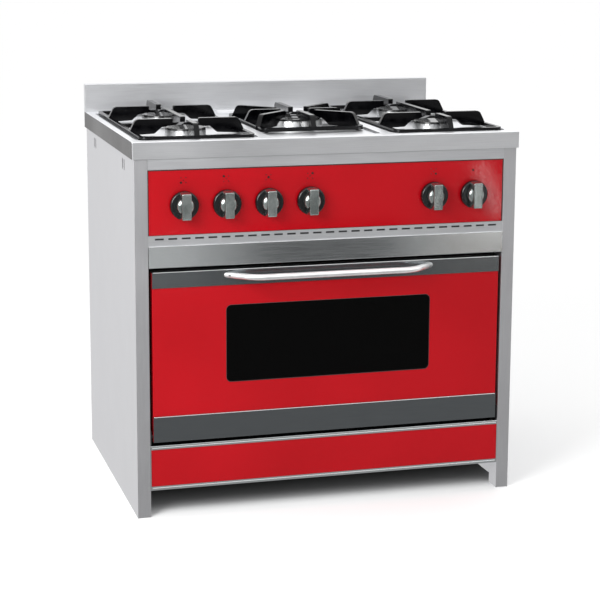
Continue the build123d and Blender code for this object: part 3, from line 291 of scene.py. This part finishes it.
def brass(name):
    """Turned brass: warm metal, dulled unevenly by handling."""
    material, tree, shader, place = new_material(name)
    tarnish = noise(tree, place, 80, 3.0, 0.6)  # 12 mm tarnish
    colour = tint(tree, ramp(tree, tarnish, 0.0, 1.0), "#8A6A34", "#C9A65A")
    tree.links.new(colour, shader.inputs["Base Color"])
    tree.links.new(ramp(tree, tarnish, 0.25, 0.42), shader.inputs["Roughness"])
    set_shader(shader, Metallic=1.0)
    return material


def mineral_wool(name):
    """Rock wool blanket: matt tangled fibres in a buff colour."""
    material, tree, shader, place = new_material(name)
    fibre = noise(tree, place, 350, 5.0, 0.7)  # 3 mm tufts
    tree.links.new(tint(tree, ramp(tree, fibre, 0.0, 1.0), "#8F8663", "#C9C09A"), shader.inputs["Base Color"])
    set_shader(shader, Roughness=0.95, Sheen_Weight=0.3)
    bump(tree, shader, fibre, 0.8, 1.5)
    return material


class RangeFinish(bpy.types.PropertyGroup):
    """Colours and sizes that a user would change."""

    enamel: bpy.props.StringProperty(
        name="Enamel", description="Colour of the front panels, as sRGB hex", default="#AC0A16")
    steel: bpy.props.StringProperty(
        name="Steel", description="Colour of the brushed body, as sRGB hex", default="#C9C9CB")
    edge_round: bpy.props.FloatProperty(
        name="Grate edge", description="Rounding of the grates' cast edges", default=0.0016,
        min=0.0, unit="LENGTH")
    mark_size: bpy.props.FloatProperty(
        name="Mark size", description="Width of the printed marks over the knobs", default=0.011,
        min=0.0, unit="LENGTH")


class RangeStage(bpy.types.PropertyGroup):
    """The floor, the lights and the camera."""

    floor_size: bpy.props.FloatProperty(
        name="Floor", description="Width of the pale floor", default=120.0, unit="LENGTH")
    lens: bpy.props.FloatProperty(
        name="Lens", description="Focal length on a 36 mm wide sensor, in millimetres", default=105.2)
    key_power: bpy.props.FloatProperty(
        name="Key light", description="Power of the large soft light, in watts", default=50.0)
    sky: bpy.props.FloatProperty(
        name="Sky", description="Brightness of the white surround", default=1.42)


def finishes():
    """Every material of the range, by a short name."""
    look = bpy.context.scene.range_finish
    return {
        "body_upright": brushed_stainless("brushed_stainless_upright", "#BFBFC2", look.steel, 0.46, "Z"),
        "body_across": brushed_stainless("brushed_stainless_across", "#C6C7CA", "#D2D3D5", 0.46, "X"),
        # The worktop's folded sides are painted near black as a dark reflection.
        "worktop": brushed_stainless(
            "satin_stainless_worktop", "#DDDEE1", "#E7E8EA", 0.34, "X", 0.0, (WORKTOP_FOLD, "#242223")),
        "strip": polished_stainless("polished_stainless_strip", "#C0C4C6", "#CDD0D1", 0.16),
        # The door trims' darker copy of the polished strip is a painted dark reflection.
        "dark_strip": polished_stainless("polished_stainless_painted_dark", "#6B6F72", "#777B7D", 0.18),
        "red": vitreous_enamel("red_vitreous_enamel", "#A30813", look.enamel, 0.08, 0.25),
        "black": vitreous_enamel("black_vitreous_enamel", "#08090A", "#101113", 0.2),
        "cap": vitreous_enamel("black_vitreous_enamel_cap", "#0C0C0D", "#18191A", 0.16),
        # Dark sheets behind the louvres and vent slots: painted shade inside the openings.
        "shade_sheet": moulded("painted_shade_sheet", "#0B0B0C", "#2A2B2D", 0.5, 1.6),
        "hinge": moulded("black_zinc_hinge", "#15161A", "#222326", 0.4, 1.0),
        "iron": enamelled_iron("black_enamelled_cast_iron"),
        "chrome_bar": chromed("satin_chrome_handle", "#F0F0F0", "#FBFBFB", 0.36),
        "chrome_grip": chromed("satin_metallised_knob", "#8A918F", "#A8AEAC", 0.2, 0.95),
        "chrome_wire": chromed("bright_chrome_wire", "#B8BABC", "#D0D2D4", 0.14),
        "aluminium": cast_aluminium("cast_aluminium_burner", "#B9BABB", "#D2D3D4", 0.32),
        "tube": cast_aluminium("drawn_aluminium_tube", "#A9AAAB", "#C0C1C2", 0.3),
        "zinc": galvanised("galvanised_sheet"),
        "skirt": moulded("black_phenolic_skirt", "#050607", "#0B0D0F", 0.2, 1.2),
        "rubber": moulded("black_rubber_foot", "#101010", "#1B1B1B", 0.7, 1.0),
        "gasket": moulded("grey_silicone_gasket", "#1A1A1B", "#262627", 0.6, 2.0),
        "tinted": tempered_glass("smoked_tempered_glass", "#0A0A0A", 0.5, 0.03, "#5A5A5A"),
        "clear": tempered_glass("clear_tempered_glass", "#DCE4E0", 1.0, 0.1, "#8A8A8A"),
        "brass": brass("turned_brass"),
        "wool": mineral_wool("rock_wool_blanket"),
        "mark": moulded("dark_red_ceramic_ink", "#1C0305", "#2A0508", 0.3, 1.0),
        # Brighter than the strips it edges: a painted highlight along each fold.
        "bright_roll": polished_stainless("rolled_edge_painted_highlight", "#E4E6E8", "#F2F3F4", 0.14),
        "bead": polished_stainless("dark_window_bead", "#5E5456", "#6E6466", 0.3),
    }


NODE_FINISH = {
    "side_panel_left": "body_upright", "side_panel_right": "body_upright",
    "front_top_rail": "body_across", "lower_frame": "strip", "vent_strip": "body_across",
    "worktop": "worktop", "backsplash": "body_across", "front_trim": "strip",
    # The base pan takes the dark hinge finish as painted shade under the range.
    "rear_panel": "zinc", "base_pan": "hinge", "rear_panel_screws": "tube", "handle_screws": "tube",
    "levelling_feet": "rubber", "control_panel": "red", "lower_panel": "red", "door_front_panel": "red",
    "oven_front_frame": "black", "oven_liner": "black", "oven_floor": "black", "door_inner_panel": "black",
    "oven_insulation": "wool", "rack_guides": "chrome_wire", "oven_rack": "chrome_wire",
    "oven_burner": "tube", "door_gasket": "gasket", "door_top_trim": "dark_strip",
    "door_bottom_trim": "dark_strip", "door_window_glass": "tinted", "door_inner_glass": "clear",
    "door_hinge_blocks": "hinge", "hinge_brackets": "hinge", "door_handle": "chrome_bar",
    "gas_valves": "brass", "gas_manifold": "tube", "burner_pipes": "tube", "gas_inlet": "brass",
    "burner_cups": "aluminium", "triple_burner": "aluminium", "burner_caps": "cap",
    **{f"grate_{place}": "iron" for place in GRATES},
    **{f"valve_stem_{i}": "brass" for i in range(1, KNOB_COUNT + 1)},
    **{f"knob_skirt_{i}": "skirt" for i in range(1, KNOB_COUNT + 1)},
    **{f"knob_grip_{i}": "chrome_grip" for i in range(1, KNOB_COUNT + 1)},
}
MATERIALS = {}


def dress(piece, finish):
    """Gives a piece one finish all over."""
    piece.data.materials.clear()
    piece.data.materials.append(MATERIALS[finish])


# ---- Modelling helpers ---------------------------------------------------------------------
def clear_selection():
    """Leaves edit mode and deselects everything."""
    if bpy.context.object and bpy.context.object.mode != "OBJECT":
        bpy.ops.object.mode_set(mode="OBJECT")
    bpy.ops.object.select_all(action="DESELECT")


def only(piece):
    """Makes a piece the one selected, active object."""
    clear_selection()
    piece.select_set(True)
    bpy.context.view_layer.objects.active = piece


def edit(piece, faces=None, edges=None, verts=None):
    """Opens edit mode on a piece with the faces, edges or vertices that pass a test selected."""
    only(piece)
    mesh = piece.data
    for part in (mesh.vertices, mesh.edges, mesh.polygons):
        part.foreach_set("select", [False] * len(part))
    if faces:
        for face in mesh.polygons:
            face.select = faces(face.center, face.normal)
    if edges:
        for edge in mesh.edges:
            a, b = (mesh.vertices[i].co for i in edge.vertices)
            edge.select = edges((a + b) / 2, b - a)
    if verts:
        for vert in mesh.vertices:
            vert.select = verts(vert.co)
    bpy.ops.object.mode_set(mode="EDIT")
    bpy.ops.mesh.select_mode(type="FACE" if faces else "EDGE" if edges else "VERT")


def settle(piece):
    """Puts a piece's place, turn and size into its mesh, with its normals outward."""
    only(piece)
    bpy.ops.object.transform_apply(location=True, rotation=True, scale=True)
    bpy.ops.object.mode_set(mode="EDIT")
    bpy.ops.mesh.select_all(action="SELECT")
    bpy.ops.mesh.normals_make_consistent(inside=False)
    bpy.ops.object.mode_set(mode="OBJECT")


def smooth(piece):
    """Smooth shading except over sharp edges, with flat faces kept flat."""
    only(piece)
    bpy.ops.object.shade_smooth_by_angle(angle=SMOOTH_BELOW)
    weighted = piece.modifiers.new("weighted_normal", "WEIGHTED_NORMAL")
    weighted.keep_sharp = True
    bpy.ops.object.modifier_apply(modifier=weighted.name)


def round_edges(piece, width):
    """A Bevel modifier on the sharp edges, applied."""
    only(piece)
    bevel = piece.modifiers.new("edge_round", "BEVEL")
    bevel.width, bevel.segments = width, 2
    bevel.limit_method, bevel.angle_limit = "ANGLE", SHARP_ABOVE
    bpy.ops.object.modifier_apply(modifier=bevel.name)


def cast_copy(node, name, width):
    """A copy of a CAD node with its points merged and its sharp edges rounded."""
    piece = bpy.data.objects.new(name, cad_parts[node].data.copy())
    bpy.context.collection.objects.link(piece)
    edit(piece, faces=lambda centre, normal: True)
    bpy.ops.mesh.remove_doubles(threshold=MERGE)
    clear_selection()
    round_edges(piece, width)
    smooth(piece)
    return piece


def box_piece(name, centre, size, rounding, finish):
    """A box with rounded edges in one finish."""
    clear_selection()
    bpy.ops.mesh.primitive_cube_add(size=1, location=centre)
    piece = bpy.context.object
    piece.name = name
    piece.scale = size
    settle(piece)
    round_edges(piece, rounding)
    smooth(piece)
    dress(piece, finish)
    return piece


# ---- Operators -----------------------------------------------------------------------------
class RANGE_OT_stage(bpy.types.Operator):
    """Pale floor, painted shadow under the range, white surround, soft lights, reflection cards and the
    camera
    """

    bl_idname = "range.stage"
    bl_label = "Stage"

    def card(self, name, centre, size, turn, colour, glow):
        """A flat card that only shows in reflections."""
        clear_selection()
        bpy.ops.mesh.primitive_plane_add(size=1, location=centre, rotation=turn)
        card = bpy.context.object
        card.name = name
        card.scale = (*size, 1)
        material, tree, shader, place = new_material(name + "_cloth")
        set_shader(shader, Base_Color=linear(colour), Roughness=1.0, Emission_Color=linear(colour),
                   Emission_Strength=glow)
        card.data.materials.append(material)
        card.visible_camera = card.visible_shadow = card.visible_diffuse = False

    def surround(self, context, sky):
        """White to the camera; to the range, a studio with its white walls behind and a dim front."""
        world = bpy.data.worlds.new("white_surround")
        context.scene.world = world
        world.use_nodes = True
        tree = world.node_tree
        base = tree.nodes["Background"]
        place = tree.nodes.new("ShaderNodeTexCoord").outputs["Generated"]
        way = add_node(tree, "ShaderNodeSeparateXYZ", Vector=place)
        depth = ramp(tree, way.outputs["Y"], FRONT_GLOW, BACK_GLOW, -0.6, 0.2)
        ray = tree.nodes.new("ShaderNodeLightPath")
        spread = ramp(tree, way.outputs["Z"], 0.0, 1.0, 0.02, 0.4)
        overhead = ramp(tree, way.outputs["Z"], 0.0, 1.0, 0.3, 0.9)  # keeps the space under the range dark
        mixes, spreading = {"data_type": "FLOAT"}, ray.outputs["Is Diffuse Ray"]
        height = add_node(tree, "ShaderNodeMix", mixes, _0=spreading, _2=spread, _3=overhead)
        floor_glow = add_node(tree, "ShaderNodeMix", mixes, _0=spreading, _2=depth, _3=LOW_GLOW)
        glow = add_node(tree, "ShaderNodeMix", mixes, _0=height.outputs[0], _2=floor_glow.outputs[0], _3=1.0)
        power = add_node(tree, "ShaderNodeMath", {"operation": "MULTIPLY"}, _0=glow.outputs[0], _1=sky)
        tree.links.new(power.outputs[0], base.inputs["Strength"])
        base.inputs["Color"].default_value = (1, 1, 1, 1)
        plain = add_node(tree, "ShaderNodeBackground", Color=(1, 1, 1, 1), Strength=1.0)
        both = add_node(tree, "ShaderNodeMixShader", _0=ray.outputs["Is Camera Ray"], _1=base.outputs[0],
                        _2=plain.outputs[0])
        tree.links.new(both.outputs[0], tree.nodes["World Output"].inputs["Surface"])

    def execute(self, context):
        stage = context.scene.range_stage
        clear_selection()
        bpy.ops.mesh.primitive_plane_add(size=stage.floor_size)
        floor = context.object
        floor.name = "studio_floor"
        material, tree, shader, place = new_material("white_paper_floor")
        set_shader(shader, Base_Color=linear("#FCFCFC"), Roughness=0.9)
        floor.data.materials.append(material)
        floor.visible_glossy = False

        tilted = (math.pi / 2, -0.42, 0)
        for card in (
            ("dark_card_middle", (0.62, -2.4, 0.18), (0.56, 0.2), UPRIGHT, "#1C1E20", 0.0),
            ("pale_card_left", (-0.3, -2.4, 0.18), (0.95, 0.2), UPRIGHT, "#DCDDDC", 0.0),
            ("pale_card_right", (1.35, -2.4, 0.18), (0.62, 0.2), UPRIGHT, "#CFC9C2", 0.0),
            ("bright_card_corner", (1.235, -2.39, 0.38), (0.05, 0.21), tilted, "#FFFFFF", 6.5),
        ):
            self.card(*card)
        self.surround(context, stage.sky)

        # A painted shadow on the floor under the range: a sheet near black at the back, fading to the floor's
        # white at its front.
        bpy.ops.mesh.primitive_plane_add(size=1, location=(0, 0.02, 0.0006))
        shadow_sheet = context.object
        shadow_sheet.name = "toe_space_painted_shadow"
        shadow_sheet.scale = (0.885, 0.64, 1)
        only(shadow_sheet)
        bpy.ops.object.transform_apply(location=True, rotation=True, scale=True)
        material, tree, shader, place = new_material("painted_shadow_floor")
        depth = add_node(tree, "ShaderNodeSeparateXYZ", Vector=place).outputs["Y"]
        fade = tint(tree, ramp(tree, depth, 0.0, 1.0, -0.25, -0.07), "#FCFCFC", "#040404")
        tree.links.new(fade, shader.inputs["Base Color"])
        set_shader(shader, Roughness=0.9, Specular_IOR_Level=0.0)
        shadow_sheet.data.materials.append(material)
        shadow_sheet.visible_glossy = False

        # A flag close behind the toe space keeps light from behind off the floor under the range.
        behind = (0, high("rear_panel").y + 0.02, 0.03)
        bpy.ops.mesh.primitive_plane_add(size=1, location=behind, rotation=UPRIGHT)
        flag = context.object
        flag.name = "toe_space_flag"
        flag.scale = (0.88, 0.056, 1)
        flag.data.materials.append(bpy.data.materials["dark_card_middle_cloth"])
        flag.visible_camera = False

        for name, place, aim, size, power in (
            ("soft_key", (-1.8, -1.7, 1.6), (-0.3, -0.2, 0.5), 1.2, stage.key_power),
            ("soft_fill", (3.2, -2.2, 3.0), (0, 0, 0.4), 2.0, stage.key_power * 0.16),
        ):
            light = bpy.data.lights.new(name, "AREA")
            light.size, light.energy = size, power
            lamp = bpy.data.objects.new(name, light)
            context.collection.objects.link(lamp)
            lamp.location = place
            lamp.rotation_euler = (Vector(aim) - Vector(place)).to_track_quat("-Z", "Y").to_euler()

        camera = bpy.data.objects.new("camera", bpy.data.cameras.new("camera"))
        context.collection.objects.link(camera)
        camera.data.lens = stage.lens
        camera.data.sensor_width = 36.0
        camera.data.shift_y = -0.0825
        camera.data.clip_end = 200.0
        yaw, pitch, roll = (math.radians(angle) for angle in (15.87, 10.52, 0.274))
        camera.matrix_world = (
            Matrix.Translation((-1.126, -4.008, 1.313))
            @ Matrix.Rotation(-yaw, 4, "Z")
            @ Matrix.Rotation(math.pi / 2 - pitch, 4, "X")
            @ Matrix.Rotation(roll, 4, "Z")
        )
        context.scene.camera = camera
        context.scene.view_settings.view_transform = "Standard"
        return {"FINISHED"}


class RANGE_OT_finishes(bpy.types.Operator):
    """Gives every CAD node its own finish"""

    bl_idname = "range.finishes"
    bl_label = "Finishes"

    def execute(self, context):
        MATERIALS.update(finishes())
        for node, finish in NODE_FINISH.items():
            dress(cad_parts[node], finish)
        missing = set(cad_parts) - set(NODE_FINISH)
        if missing:
            raise RuntimeError(f"nodes with no finish: {sorted(missing)}")
        return {"FINISHED"}


class RANGE_OT_grates(bpy.types.Operator):
    """Cast grates with rounded edges"""

    bl_idname = "range.grates"
    bl_label = "Grates"

    def execute(self, context):
        for place in GRATES:
            node = f"grate_{place}"
            grate = cast_copy(node, f"cast_grate_{place}", context.scene.range_finish.edge_round)
            dress(grate, "iron")
            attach(grate, node)
            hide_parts(node)
        return {"FINISHED"}


class RANGE_OT_knobs(bpy.types.Operator):
    """Knob grips: a domed hub and a bar with bevelled ends, a recessed front and an index mark"""

    bl_idname = "range.knobs"
    bl_label = "Knob grips"

    def grip(self, node, name):
        """The bar of one knob, from a cube."""
        lo, hi = low(node), high(node)
        centre = (lo + hi) / 2
        front, back = lo.y, hi.y
        width, height = BAR_WIDTH, hi.z - lo.z
        clear_selection()
        bpy.ops.mesh.primitive_cube_add(size=1, location=(centre.x, (front + back) / 2, centre.z))
        bar = bpy.context.object
        bar.name = name
        bar.scale = (width, back - front, height)
        settle(bar)
        # The ends slope in towards the front, and the sides draw in a little.
        edit(bar, faces=lambda c, n: n.y < -0.9)
        bpy.ops.transform.resize(value=BAR_TAPER, center_override=(centre.x, front, centre.z))
        clear_selection()
        edit(bar, edges=lambda c, d: abs(d.y) > abs(d.x) + abs(d.z))
        bpy.ops.mesh.bevel(offset=BAR_CORNER, segments=4)
        clear_selection()
        edit(bar, faces=lambda c, n: n.y < -0.9)
        bpy.ops.mesh.bevel(offset=BAR_RIM, segments=3, affect="EDGES")
        clear_selection()
        edit(bar, faces=lambda c, n: n.y < -0.99)
        bpy.ops.mesh.inset(thickness=BAR_RECESS[0])
        bpy.ops.transform.translate(value=(0, BAR_RECESS[1], 0))
        clear_selection()
        # Index mark near the top of the front face.
        bpy.ops.mesh.primitive_cylinder_add(
            vertices=20, radius=NOTCH_RADIUS, depth=NOTCH_DEPTH, rotation=UPRIGHT,
            location=(centre.x, front + NOTCH_DEPTH / 2, centre.z + height * NOTCH_UP))
        notch = bpy.context.object
        settle(notch)
        edit(notch, faces=lambda c, n: n.y < -0.9)
        bpy.ops.mesh.bevel(offset=NOTCH_DEPTH / 4, segments=2)
        clear_selection()
        # Domed hub: a cylinder whose front rim is rounded and drawn forward.
        radius = (hi.x - lo.x) / 2
        bpy.ops.mesh.primitive_cylinder_add(
            vertices=48, radius=radius, depth=HUB_DEPTH, rotation=UPRIGHT,
            location=(centre.x, back - HUB_DEPTH / 2, centre.z))
        hub = bpy.context.object
        settle(hub)
        edit(hub, faces=lambda c, n: n.y < -0.9)
        bpy.ops.mesh.extrude_region_move(TRANSFORM_OT_translate={"value": (0, -HUB_DOME, 0)})
        bpy.ops.transform.resize(value=(HUB_NECK, 1, HUB_NECK), center_override=(centre.x, back, centre.z))
        bpy.ops.mesh.bevel(offset=HUB_ROUND, segments=4)
        clear_selection()
        edit(hub, edges=lambda c, d: abs(c.y - (back - HUB_DEPTH)) < 0.0004)
        bpy.ops.mesh.bevel(offset=HUB_RIM, segments=4)
        clear_selection()
        for piece in (notch, hub, bar):
            piece.select_set(True)
        bpy.context.view_layer.objects.active = bar
        bpy.ops.object.join()
        smooth(bar)
        return bar

    def execute(self, context):
        for number in range(1, KNOB_COUNT + 1):
            node = f"knob_grip_{number}"
            grip = self.grip(node, f"knob_bar_{number}")
            dress(grip, "chrome_grip")
            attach(grip, f"knob_{number}")
            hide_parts(node)
        return {"FINISHED"}


class RANGE_OT_marks(bpy.types.Operator):
    """Small printed marks over the knobs: four dots in a square, one of them filled larger"""

    bl_idname = "range.marks"
    bl_label = "Panel marks"

    def execute(self, context):
        size = context.scene.range_finish.mark_size
        face_y = low("control_panel").y
        # The corner of the hob that each knob serves: left front, left rear, middle, right rear and
        # right front. The last knob is the oven's.
        served = [(-1, -1), (-1, 1), (0, 0), (1, 1), (1, -1), None]
        for number, corner in enumerate(served, start=1):
            hub = middle(f"knob_skirt_{number}")
            dots = []
            spots = [(-1, -1), (-1, 1), (1, -1), (1, 1), (0, 0)] if corner else [(0, 0)]
            for spot in spots:
                radius = size * (DOT_BIG if spot == corner or not corner else DOT_SMALL)
                x, z = hub.x + spot[0] * size / 2, hub.z + MARK_UP + spot[1] * size / 2
                clear_selection()
                bpy.ops.mesh.primitive_circle_add(
                    vertices=20, radius=radius, fill_type="NGON", rotation=UPRIGHT,
                    location=(x, face_y - DOT_PROUD, z))
                dot = context.object
                settle(dot)
                edit(dot, faces=lambda c, n: True)
                bpy.ops.mesh.extrude_region_move(TRANSFORM_OT_translate={"value": (0, DOT_PROUD * 2, 0)})
                clear_selection()
                settle(dot)
                dots.append(dot)
            clear_selection()
            for dot in dots:
                dot.select_set(True)
            context.view_layer.objects.active = dots[0]
            if len(dots) > 1:
                bpy.ops.object.join()
            mark = context.object
            mark.name = f"panel_mark_{number}"
            dress(mark, "mark")
            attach(mark, BODY)
        return {"FINISHED"}


class RANGE_OT_window_bead(bpy.types.Operator):
    """Thin dark bead around the door's window"""

    bl_idname = "range.window_bead"
    bl_label = "Window bead"

    def execute(self, context):
        glass_lo, glass_hi = low("door_window_glass"), high("door_window_glass")
        half_x = (glass_hi.x - glass_lo.x) / 2 - BEAD_LAP
        half_z = (glass_hi.z - glass_lo.z) / 2 - BEAD_LAP
        place = (0, glass_lo.y, middle("door_window_glass").z)
        clear_selection()
        bpy.ops.mesh.primitive_plane_add(size=2, location=place, rotation=UPRIGHT)
        bead = context.object
        bead.name = "window_bead"
        bead.scale = (half_x, half_z, 1)
        settle(bead)
        edit(bead, verts=lambda co: True)
        bpy.ops.mesh.bevel(offset=BEAD_CORNER, segments=6, affect="VERTICES")
        clear_selection()
        edit(bead, faces=lambda c, n: True)
        bpy.ops.mesh.inset(thickness=BEAD_WIDTH)
        bpy.ops.mesh.delete(type="FACE")
        bpy.ops.mesh.select_all(action="SELECT")
        bpy.ops.mesh.extrude_region_move(TRANSFORM_OT_translate={"value": (0, -BEAD_PROUD, 0)})
        clear_selection()
        settle(bead)
        round_edges(bead, BEAD_PROUD / 3)
        smooth(bead)
        dress(bead, "bead")
        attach(bead, "oven_door")
        return {"FINISHED"}


class RANGE_OT_fold_lines(bpy.types.Operator):
    """Rolled edges along the front strips and the lower frame: real folds, in a finish brighter than the
    strips as a painted highlight
    """

    bl_idname = "range.fold_lines"
    bl_label = "Rolled edges"

    def execute(self, context):
        frame_height = high("lower_frame").z - low("lower_frame").z
        # Each edge's strip, how far it lies below that strip's top and inside its ends, and its body.
        for name, node, drop, inset, body, slot in (
            ("rolled_edge_door_top", "door_top_trim", 0, 0.002, "oven_door", "dark_strip"),
            ("rolled_edge_door_bottom", "door_bottom_trim", 0, 0.002, "oven_door", "dark_strip"),
            ("rolled_edge_front_trim", "front_trim", 0, 0.002, BODY, "polished_strip"),
            ("rolled_edge_frame_top", "lower_frame", 0.004, 0.004, BODY, "polished_strip"),
            ("rolled_edge_frame_bottom", "lower_frame", frame_height - 0.006, 0.004, BODY, "polished_strip"),
        ):
            lo, hi = low(node), high(node)
            place = ((lo.x + hi.x) / 2, lo.y + EDGE_ROLL * 0.4, hi.z - drop - EDGE_ROLL)
            clear_selection()
            bpy.ops.mesh.primitive_cylinder_add(
                vertices=16, radius=EDGE_ROLL, depth=hi.x - lo.x - 2 * inset, location=place,
                rotation=(0, math.pi / 2, 0))
            roll = context.object
            roll.name = name
            settle(roll)
            edit(roll, faces=lambda c, n: abs(n.x) > 0.9)
            bpy.ops.mesh.bevel(offset=EDGE_ROLL * 0.4, segments=2)
            clear_selection()
            smooth(roll)
            # The brighter finish paints the highlight along the fold.
            dress(roll, "bright_roll")
            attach(roll, body)
        return {"FINISHED"}


class RANGE_OT_panel_shadows(bpy.types.Operator):
    """Thin dark strips round the control panel, against the rail and the columns: painted shadow in the gaps
    there
    """

    bl_idname = "range.panel_edges"
    bl_label = "Panel painted shadow"

    def execute(self, context):
        lo, hi = low("control_panel"), high("control_panel")
        half, width = PAINTED_GAP / 2, hi.x - lo.x - PAINTED_GAP_CLEAR
        side_z, side_height = (lo.z + hi.z) / 2 - half, hi.z - lo.z - PAINTED_GAP - PAINTED_GAP_CLEAR
        for name, x, z, size_x, size_z in (
            ("panel_painted_shadow_top", 0, hi.z - half, width, PAINTED_GAP),
            ("panel_painted_shadow_left", lo.x + half, side_z, PAINTED_GAP, side_height),
            ("panel_painted_shadow_right", hi.x - half, side_z, PAINTED_GAP, side_height),
        ):
            size = (size_x, PAINTED_GAP_THICK, size_z)
            # The strips take the dark gasket finish: painted shadow in the gaps round the panel.
            strip = box_piece(name, (x, lo.y, z), size, PAINTED_GAP_ROUND, "gasket")
            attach(strip, BODY)
        return {"FINISHED"}


class RANGE_OT_shade_sheets(bpy.types.Operator):
    """Dark sheets behind the side louvres and behind the vent slots: painted shade in the openings"""

    bl_idname = "range.gauzes"
    bl_label = "Painted shade sheets"

    def execute(self, context):
        side_x, vent_lo, vent_hi = high("side_panel_right").x, low("vent_strip"), high("vent_strip")
        louvre_size = (SHADE_SHEET_THICK, 0.044, 0.032)
        gauzes = [
            (f"louvre_painted_shade_{label}_{place}", (sign * (side_x - SHADE_SHEET_SET), y, LOUVRES_Z), louvre_size)
            for label, sign in (("left", -1), ("right", 1)) for place, y in LOUVRES_Y.items()
        ]
        vent_size = (vent_hi.x - vent_lo.x - 0.02, SHADE_SHEET_THICK, 0.014)
        gauzes.append(("vent_painted_shade", (0, vent_lo.y + SHADE_SHEET_SET, (vent_lo.z + vent_hi.z) / 2), vent_size))
        # Each sheet is painted shade in the openings in front of it.
        for name, centre, size in gauzes:
            sheet = box_piece(name, centre, size, SHADE_SHEET_THICK * 0.4, "shade_sheet")
            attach(sheet, BODY)
        return {"FINISHED"}


class RANGE_PT_panel(bpy.types.Panel):
    """Shows the range's settings and operator buttons in the sidebar"""

    bl_label = "Gas Range"
    bl_idname = "RANGE_PT_panel"
    bl_space_type = "VIEW_3D"
    bl_region_type = "UI"
    bl_category = "Gas Range"

    def draw(self, context):
        for group in (context.scene.range_finish, context.scene.range_stage):
            for name in group.__annotations__:
                self.layout.prop(group, name)
        for operator in OPERATORS:
            self.layout.operator(operator.bl_idname)


OPERATORS = (
    RANGE_OT_stage,
    RANGE_OT_finishes,
    RANGE_OT_grates,
    RANGE_OT_knobs,
    RANGE_OT_marks,
    RANGE_OT_window_bead,
    RANGE_OT_fold_lines,
    RANGE_OT_panel_shadows,
    RANGE_OT_shade_sheets,
)
CLASSES = (RangeFinish, RangeStage, *OPERATORS, RANGE_PT_panel)


def register():
    """Registers the classes and hangs the settings on the scene."""
    for kind in CLASSES:
        bpy.utils.register_class(kind)
    bpy.types.Scene.range_finish = bpy.props.PointerProperty(type=RangeFinish)
    bpy.types.Scene.range_stage = bpy.props.PointerProperty(type=RangeStage)


def unregister():
    """Takes the settings and classes away again."""
    del bpy.types.Scene.range_stage
    del bpy.types.Scene.range_finish
    for kind in reversed(CLASSES):
        bpy.utils.unregister_class(kind)


def main():
    """Builds the stage and every piece."""
    register()
    bpy.ops.range.stage()
    bpy.ops.range.finishes()
    bpy.ops.range.grates()
    bpy.ops.range.knobs()
    bpy.ops.range.marks()
    bpy.ops.range.window_bead()
    bpy.ops.range.fold_lines()
    bpy.ops.range.panel_edges()
    bpy.ops.range.gauzes()
    clear_selection()


if __name__ == "__main__":
    main()
